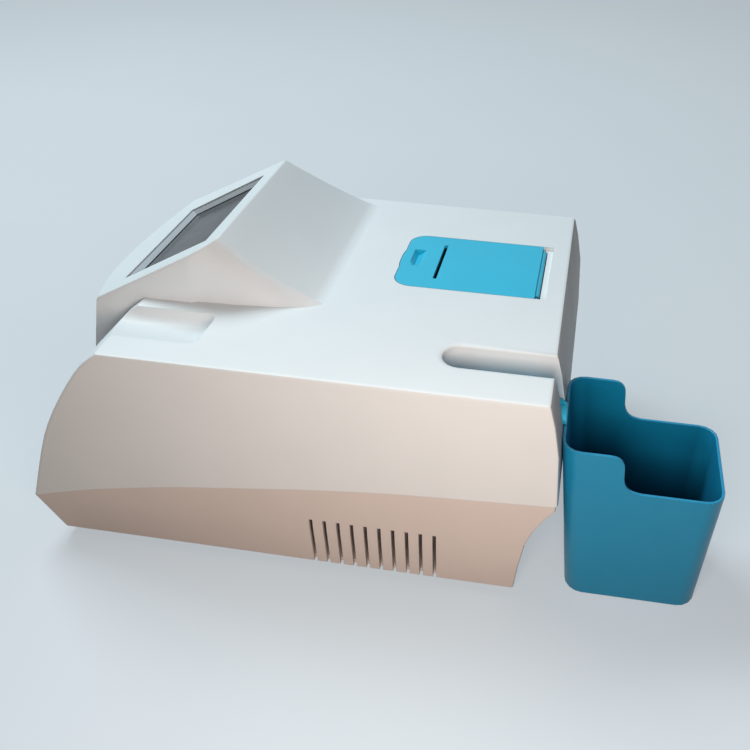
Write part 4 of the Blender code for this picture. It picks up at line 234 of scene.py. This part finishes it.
# Nodes whose finish differs from that of their slot: the lower shell gets the case white painted darker
# and warmer, as painted shade and painted warm bounce light
FINISH_OF_PIECE = {"lower_shell": "case_white_painted_shade"}


# Material helpers
def give(tree, socket, value):
    """Sets a socket to a value, or links it to another socket."""
    if isinstance(value, bpy.types.NodeSocket):
        tree.links.new(value, socket)
    else:
        socket.default_value = value


def add_node(tree, kind, settings=(), **inputs):
    """A shader node; inputs are values or sockets, named as Blender names them, with _ for a space."""
    made = tree.nodes.new(kind)
    for key, value in settings:
        setattr(made, key, value)
    for key, value in inputs.items():
        give(tree, made.inputs[key.replace("_", " ")], value)
    return made


def in_order(tree, kind, *values, settings=()):
    """A shader node whose first inputs get the values in order."""
    made = add_node(tree, kind, settings)
    for socket, value in zip(made.inputs, values):
        give(tree, socket, value)
    return made


def number(tree, operation, *values):
    """The result of a Math node."""
    made = in_order(tree, "ShaderNodeMath", *values, settings=(("operation", operation),))
    return made.outputs["Value"]


def vector(tree, operation, *values, result="Vector"):
    """The result of a Vector Math node."""
    made = in_order(tree, "ShaderNodeVectorMath", *values, settings=(("operation", operation),))
    return made.outputs[result]


def scaled(tree, socket, span, result=(0.0, 1.0)):
    """The socket's value mapped from one span to another."""
    made = add_node(
        tree, "ShaderNodeMapRange", Value=socket,
        From_Min=span[0], From_Max=span[1], To_Min=result[0], To_Max=result[1],
    )
    return made.outputs["Result"]


def own_place(tree):
    """The point's place in the piece's own coordinates."""
    return add_node(tree, "ShaderNodeTexCoord").outputs["Object"]


def noise(tree, scale, detail, stretch=(1.0, 1.0, 1.0)):
    """A noise value in the piece's own coordinates, scale in steps a metre."""
    mapping = add_node(tree, "ShaderNodeMapping", Vector=own_place(tree), Scale=stretch)
    made = add_node(
        tree, "ShaderNodeTexNoise", Vector=mapping.outputs["Vector"],
        Scale=scale, Detail=detail, Roughness=NOISE_ROUGHNESS,
    )
    return made.outputs["Fac"]


def rounded_normal(tree, radius):
    """The surface's direction with edges rounded by a radius."""
    made = add_node(tree, "ShaderNodeBevel", (("samples", NORMAL_SAMPLES),), Radius=radius)
    return made.outputs["Normal"]


def edge_mask(tree, radius):
    """1 on edges, 0 elsewhere: how far a rounded normal leaves the true one."""
    true = add_node(tree, "ShaderNodeNewGeometry").outputs["Normal"]
    likeness = vector(tree, "DOT_PRODUCT", rounded_normal(tree, radius), true, result="Value")
    return scaled(tree, likeness, EDGE_RANGE)


def mixed(tree, share, first, second):
    """Two colours mixed by a share."""
    made = add_node(tree, "ShaderNodeMix", (("data_type", "RGBA"),))
    for index, value in zip(MIX_INPUTS, (share, first, second)):
        give(tree, made.inputs[index], value)
    return made.outputs[MIX_RESULT]


def opaque(colour, factor=1.0):
    """A colour with its alpha, made lighter or darker by a factor."""
    return tuple(min(1.0, channel * factor) for channel in colour) + (1.0,)


def patched(tree, colour, mottle, scale):
    """A colour that goes lighter and darker in soft patches."""
    share = scaled(tree, noise(tree, scale, PATCH_DETAIL), PATCH_RANGE)
    return mixed(tree, share, opaque(colour, 1.0 - mottle), opaque(colour, 1.0 + mottle))


def layered(tree, tone, mark, strength, colour):
    """The tone with a pattern's colour laid over it."""
    return mixed(tree, number(tree, "MULTIPLY", mark, strength), tone, opaque(colour))


def rings(tree):
    """Fine layers round the paper roll's axis, which lies along X, as wound paper shows at its ends."""
    low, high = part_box("paper_roll")
    middle = [(a + b) / 2 for a, b in zip(low, high)]
    offset = vector(tree, "SUBTRACT", own_place(tree), middle)
    across = vector(tree, "MULTIPLY", offset, (0.0, 1.0, 1.0))
    reach = vector(tree, "LENGTH", across, result="Value")
    turns = number(tree, "MULTIPLY", reach, math.tau / PAPER_LAYER)
    return scaled(tree, number(tree, "SINE", turns), (-1.0, 1.0))


def tracks(tree):
    """Square-cornered copper tracks under a board's lacquer."""
    made = add_node(
        tree, "ShaderNodeTexVoronoi", (("distance", "CHEBYCHEV"), ("feature", "F1")),
        Vector=own_place(tree), Scale=TRACK_SCALE,
    )
    return scaled(tree, made.outputs["Distance"], TRACK_RANGE)


def painted_hollow_shade(tree):
    """Painted shade: 1 where the piece's own walls stand close round a point, 0 in the open, to darken the
    colour there.
    """
    made = add_node(
        tree, "ShaderNodeAmbientOcclusion", (("samples", PAINTED_SHADE_SAMPLES), ("only_local", True)),
        Distance=PAINTED_SHADE_REACH,
    )
    return scaled(tree, made.outputs["AO"], PAINTED_SHADE_RANGE, (1.0, 0.0))


def surface(
    name, colour, roughness, mottle, grain_scale, grain_depth, wear,
    metallic=0.0, stretch=(1.0, 1.0, 1.0), level=0.5, pattern=None, hollow_shade_colour=None,
):
    """A finished surface: mottled colour, grain in bump and roughness, worn edges, and painted shade in
    its hollows where a finish asks for it.
    """
    material = bpy.data.materials.new("look_" + name)
    material.use_nodes = True
    tree = material.node_tree
    shader = tree.nodes["Principled BSDF"]
    tone = patched(tree, colour, mottle, PATCH_SCALE)
    if pattern == "rings":
        tone = layered(tree, tone, rings(tree), RING_SHARE, RING_COLOUR)
    if pattern == "tracks":
        tone = layered(tree, tone, tracks(tree), TRACK_SHARE, TRACK_COLOUR)
    # Painted shade: the colour goes darker where the piece's own walls close round it, as inside the bin
    if hollow_shade_colour is not None:
        tone = layered(tree, tone, painted_hollow_shade(tree), 1.0, hollow_shade_colour)
    breaks = scaled(tree, noise(tree, BREAK_SCALE, BREAK_DETAIL), BREAK_RANGE, (0.0, wear))
    worn = number(tree, "MULTIPLY", edge_mask(tree, EDGE_WEAR_RADIUS), breaks)
    worn_colour = tuple(channel + (WORN_TONE - channel) * WORN_SHARE for channel in colour)
    give(tree, shader.inputs["Base Color"], mixed(tree, worn, tone, opaque(worn_colour)))
    spread = (roughness - ROUGHNESS_SPREAD, roughness + ROUGHNESS_SPREAD)
    rub = scaled(tree, noise(tree, RUB_SCALE, RUB_DETAIL), RUB_RANGE, spread)
    give(tree, shader.inputs["Roughness"], rub)
    bump = add_node(
        tree, "ShaderNodeBump", Strength=BUMP_STRENGTH, Distance=grain_depth,
        Height=noise(tree, grain_scale, GRAIN_DETAIL, stretch), Normal=rounded_normal(tree, EDGE_SOFTNESS),
    )
    give(tree, shader.inputs["Normal"], bump.outputs["Normal"])
    shader.inputs["Metallic"].default_value = metallic
    shader.inputs["Specular IOR Level"].default_value = level
    return material


MATERIALS = {slot: surface(slot, COLOURS[slot], **FINISHES[slot]) for slot in COLOURS}


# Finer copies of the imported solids
def finer_mesh(node):
    """The node's mesh welded, its flat parts merged, and its soft edges shaded smooth."""
    work = bmesh.new()
    work.from_mesh(frame["nodes"][node].data)
    bmesh.ops.remove_doubles(work, verts=work.verts, dist=WELD)
    bmesh.ops.dissolve_limit(
        work, angle_limit=FLAT_ANGLE, verts=work.verts, edges=work.edges, use_dissolve_boundaries=False,
    )
    for face in work.faces:
        face.smooth = True
    for edge in work.edges:
        edge.smooth = not (edge.is_manifold and edge.calc_face_angle() > SHARP_ANGLE)
    clean = bpy.data.meshes.new("look_" + node)
    work.to_mesh(clean)
    work.free()
    return clean


def slot_of(node):
    """The record's material slot of a node."""
    return frame["nodes"][node].data.materials[0].name.split(".")[0]


def body_of(node):
    """The body that a node belongs to."""
    bodies = frame["record"]["behaviour"]["bodies"]
    return next(body for body, members in bodies.items() if node in members)


def face_direction():
    """Outward direction of the tilted display face, from the glass."""
    polygons = frame["nodes"]["touch_glass"].data.polygons
    upper = [poly.normal * poly.area for poly in polygons if poly.normal.z > FACE_RISE]
    return sum(upper, Vector()).normalized()


def paint_rim_shadow(piece):
    """The seal's outermost rim, next to the opening's edge, is painted dark: painted shadow of the gap
    there.
    """
    mesh = piece.data
    mesh.materials.append(MATERIALS["seal_painted_shadow"])
    out = face_direction()
    top = max(vert.co.dot(out) for vert in mesh.vertices)
    for poly in mesh.polygons:
        if poly.center.dot(out) > top - SHADOW_RIM_DEPTH and poly.normal.dot(out) > SHADOW_RIM_LEAN:
            poly.material_index = 1


def dress(node):
    """Puts a finer copy of a node in its place, which moves with the node's body."""
    slot = slot_of(node)
    piece = bpy.data.objects.new("look_" + node, finer_mesh(node))
    bpy.context.scene.collection.objects.link(piece)
    piece.data.materials.append(MATERIALS[FINISH_OF_PIECE.get(node, slot)])
    # The seal's rim gets painted shadow
    if node == "screen_gasket":
        paint_rim_shadow(piece)
    if node not in ROUND_PLAIN:
        soften = piece.modifiers.new("soften", "BEVEL")
        soften.width = ROUND_WIDTH
        soften.segments = ROUND_SEGMENTS
        soften.limit_method = "ANGLE"
        soften.angle_limit = SHARP_ANGLE
    weigh = piece.modifiers.new("weigh", "WEIGHTED_NORMAL")
    weigh.keep_sharp = True
    weigh.weight = NORMAL_WEIGHT
    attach(piece, body_of(node))
    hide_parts(node)


for node in sorted(frame["nodes"]):
    dress(node)


# Stage
def seen_rays(tree):
    """1 for the rays that show the background: those of the camera, of gloss and of glass."""
    path = add_node(tree, "ShaderNodeLightPath")
    seen = path.outputs["Is Camera Ray"]
    for ray in ("Is Glossy Ray", "Is Transmission Ray"):
        seen = number(tree, "MAXIMUM", seen, path.outputs[ray])
    return seen


def floor():
    """A pale floor: evenly pale to the eye and in reflections, a dim warm bounce to everything else."""
    mesh = bpy.data.meshes.new("floor")
    reach = FLOOR_REACH
    corners = [(-reach, -reach, 0), (reach, -reach, 0), (reach, reach, 0), (-reach, reach, 0)]
    mesh.from_pydata(corners, [], [(0, 1, 2, 3)])
    made = bpy.data.objects.new("floor", mesh)
    bpy.context.scene.collection.objects.link(made)
    material = bpy.data.materials.new("floor_pale")
    material.use_nodes = True
    tree = material.node_tree
    tree.nodes.remove(tree.nodes["Principled BSDF"])
    shade = patched(tree, FLOOR_SHADE, FLOOR_MOTTLE, FLOOR_PATCH_SCALE)
    lit = add_node(tree, "ShaderNodeBsdfDiffuse", Color=shade).outputs["BSDF"]
    glow = add_node(tree, "ShaderNodeEmission", Color=opaque(FLOOR_GLOW), Strength=1.0).outputs["Emission"]
    pale = in_order(tree, "ShaderNodeAddShader", lit, glow).outputs["Shader"]
    bounce = add_node(tree, "ShaderNodeBsdfDiffuse", Color=opaque(FLOOR_BOUNCE)).outputs["BSDF"]
    blend = in_order(tree, "ShaderNodeMixShader", seen_rays(tree), bounce, pale)
    give(tree, tree.nodes["Material Output"].inputs["Surface"], blend.outputs["Shader"])
    mesh.materials.append(material)


def lamp(name, place, target, size, power, colour, glossy):
    """A rectangular lamp that points at a target."""
    data = bpy.data.lights.new(name, "AREA")
    data.shape = "RECTANGLE"
    data.size, data.size_y = size
    data.energy = power
    data.color = colour
    made = bpy.data.objects.new(name, data)
    bpy.context.scene.collection.objects.link(made)
    made.location = place
    made.rotation_euler = (Vector(target) - Vector(place)).to_track_quat("-Z", "Y").to_euler()
    made.visible_camera = False
    made.visible_glossy = glossy


def world():
    """Dim light from all round, and a pale background where it is seen."""
    made = bpy.data.worlds.new("soft")
    bpy.context.scene.world = made
    made.use_nodes = True
    tree = made.node_tree
    back = tree.nodes["Background"]
    back.inputs["Color"].default_value = opaque(WORLD_TINT)
    strength = scaled(tree, seen_rays(tree), (0.0, 1.0), (WORLD_LIGHT, WORLD_PALE))
    give(tree, back.inputs["Strength"], strength)


def camera():
    """The photo's view."""
    azimuth, elevation = VIEW_AZIMUTH, VIEW_ELEVATION
    back = Vector((
        math.cos(elevation) * math.sin(azimuth),
        -math.cos(elevation) * math.cos(azimuth),
        math.sin(elevation),
    ))
    right = Vector((0.0, 0.0, 1.0)).cross(back).normalized()
    up = back.cross(right)
    turned_right = right * math.cos(VIEW_ROLL) + up * math.sin(VIEW_ROLL)
    turned_up = up * math.cos(VIEW_ROLL) - right * math.sin(VIEW_ROLL)
    data = bpy.data.cameras.new("photo_view")
    data.lens = LENS_MM
    data.sensor_width = SENSOR_MM
    data.shift_x = SHIFT_X
    made = bpy.data.objects.new("photo_view", data)
    bpy.context.scene.collection.objects.link(made)
    turn = Matrix((turned_right, turned_up, back)).transposed()
    made.matrix_world = Matrix.Translation(VIEW_PLACE) @ turn.to_4x4()
    bpy.context.scene.camera = made


floor()
world()
for name, settings in LAMPS.items():
    lamp(name, **settings)
camera()
bpy.context.scene.view_settings.view_transform = "Standard"
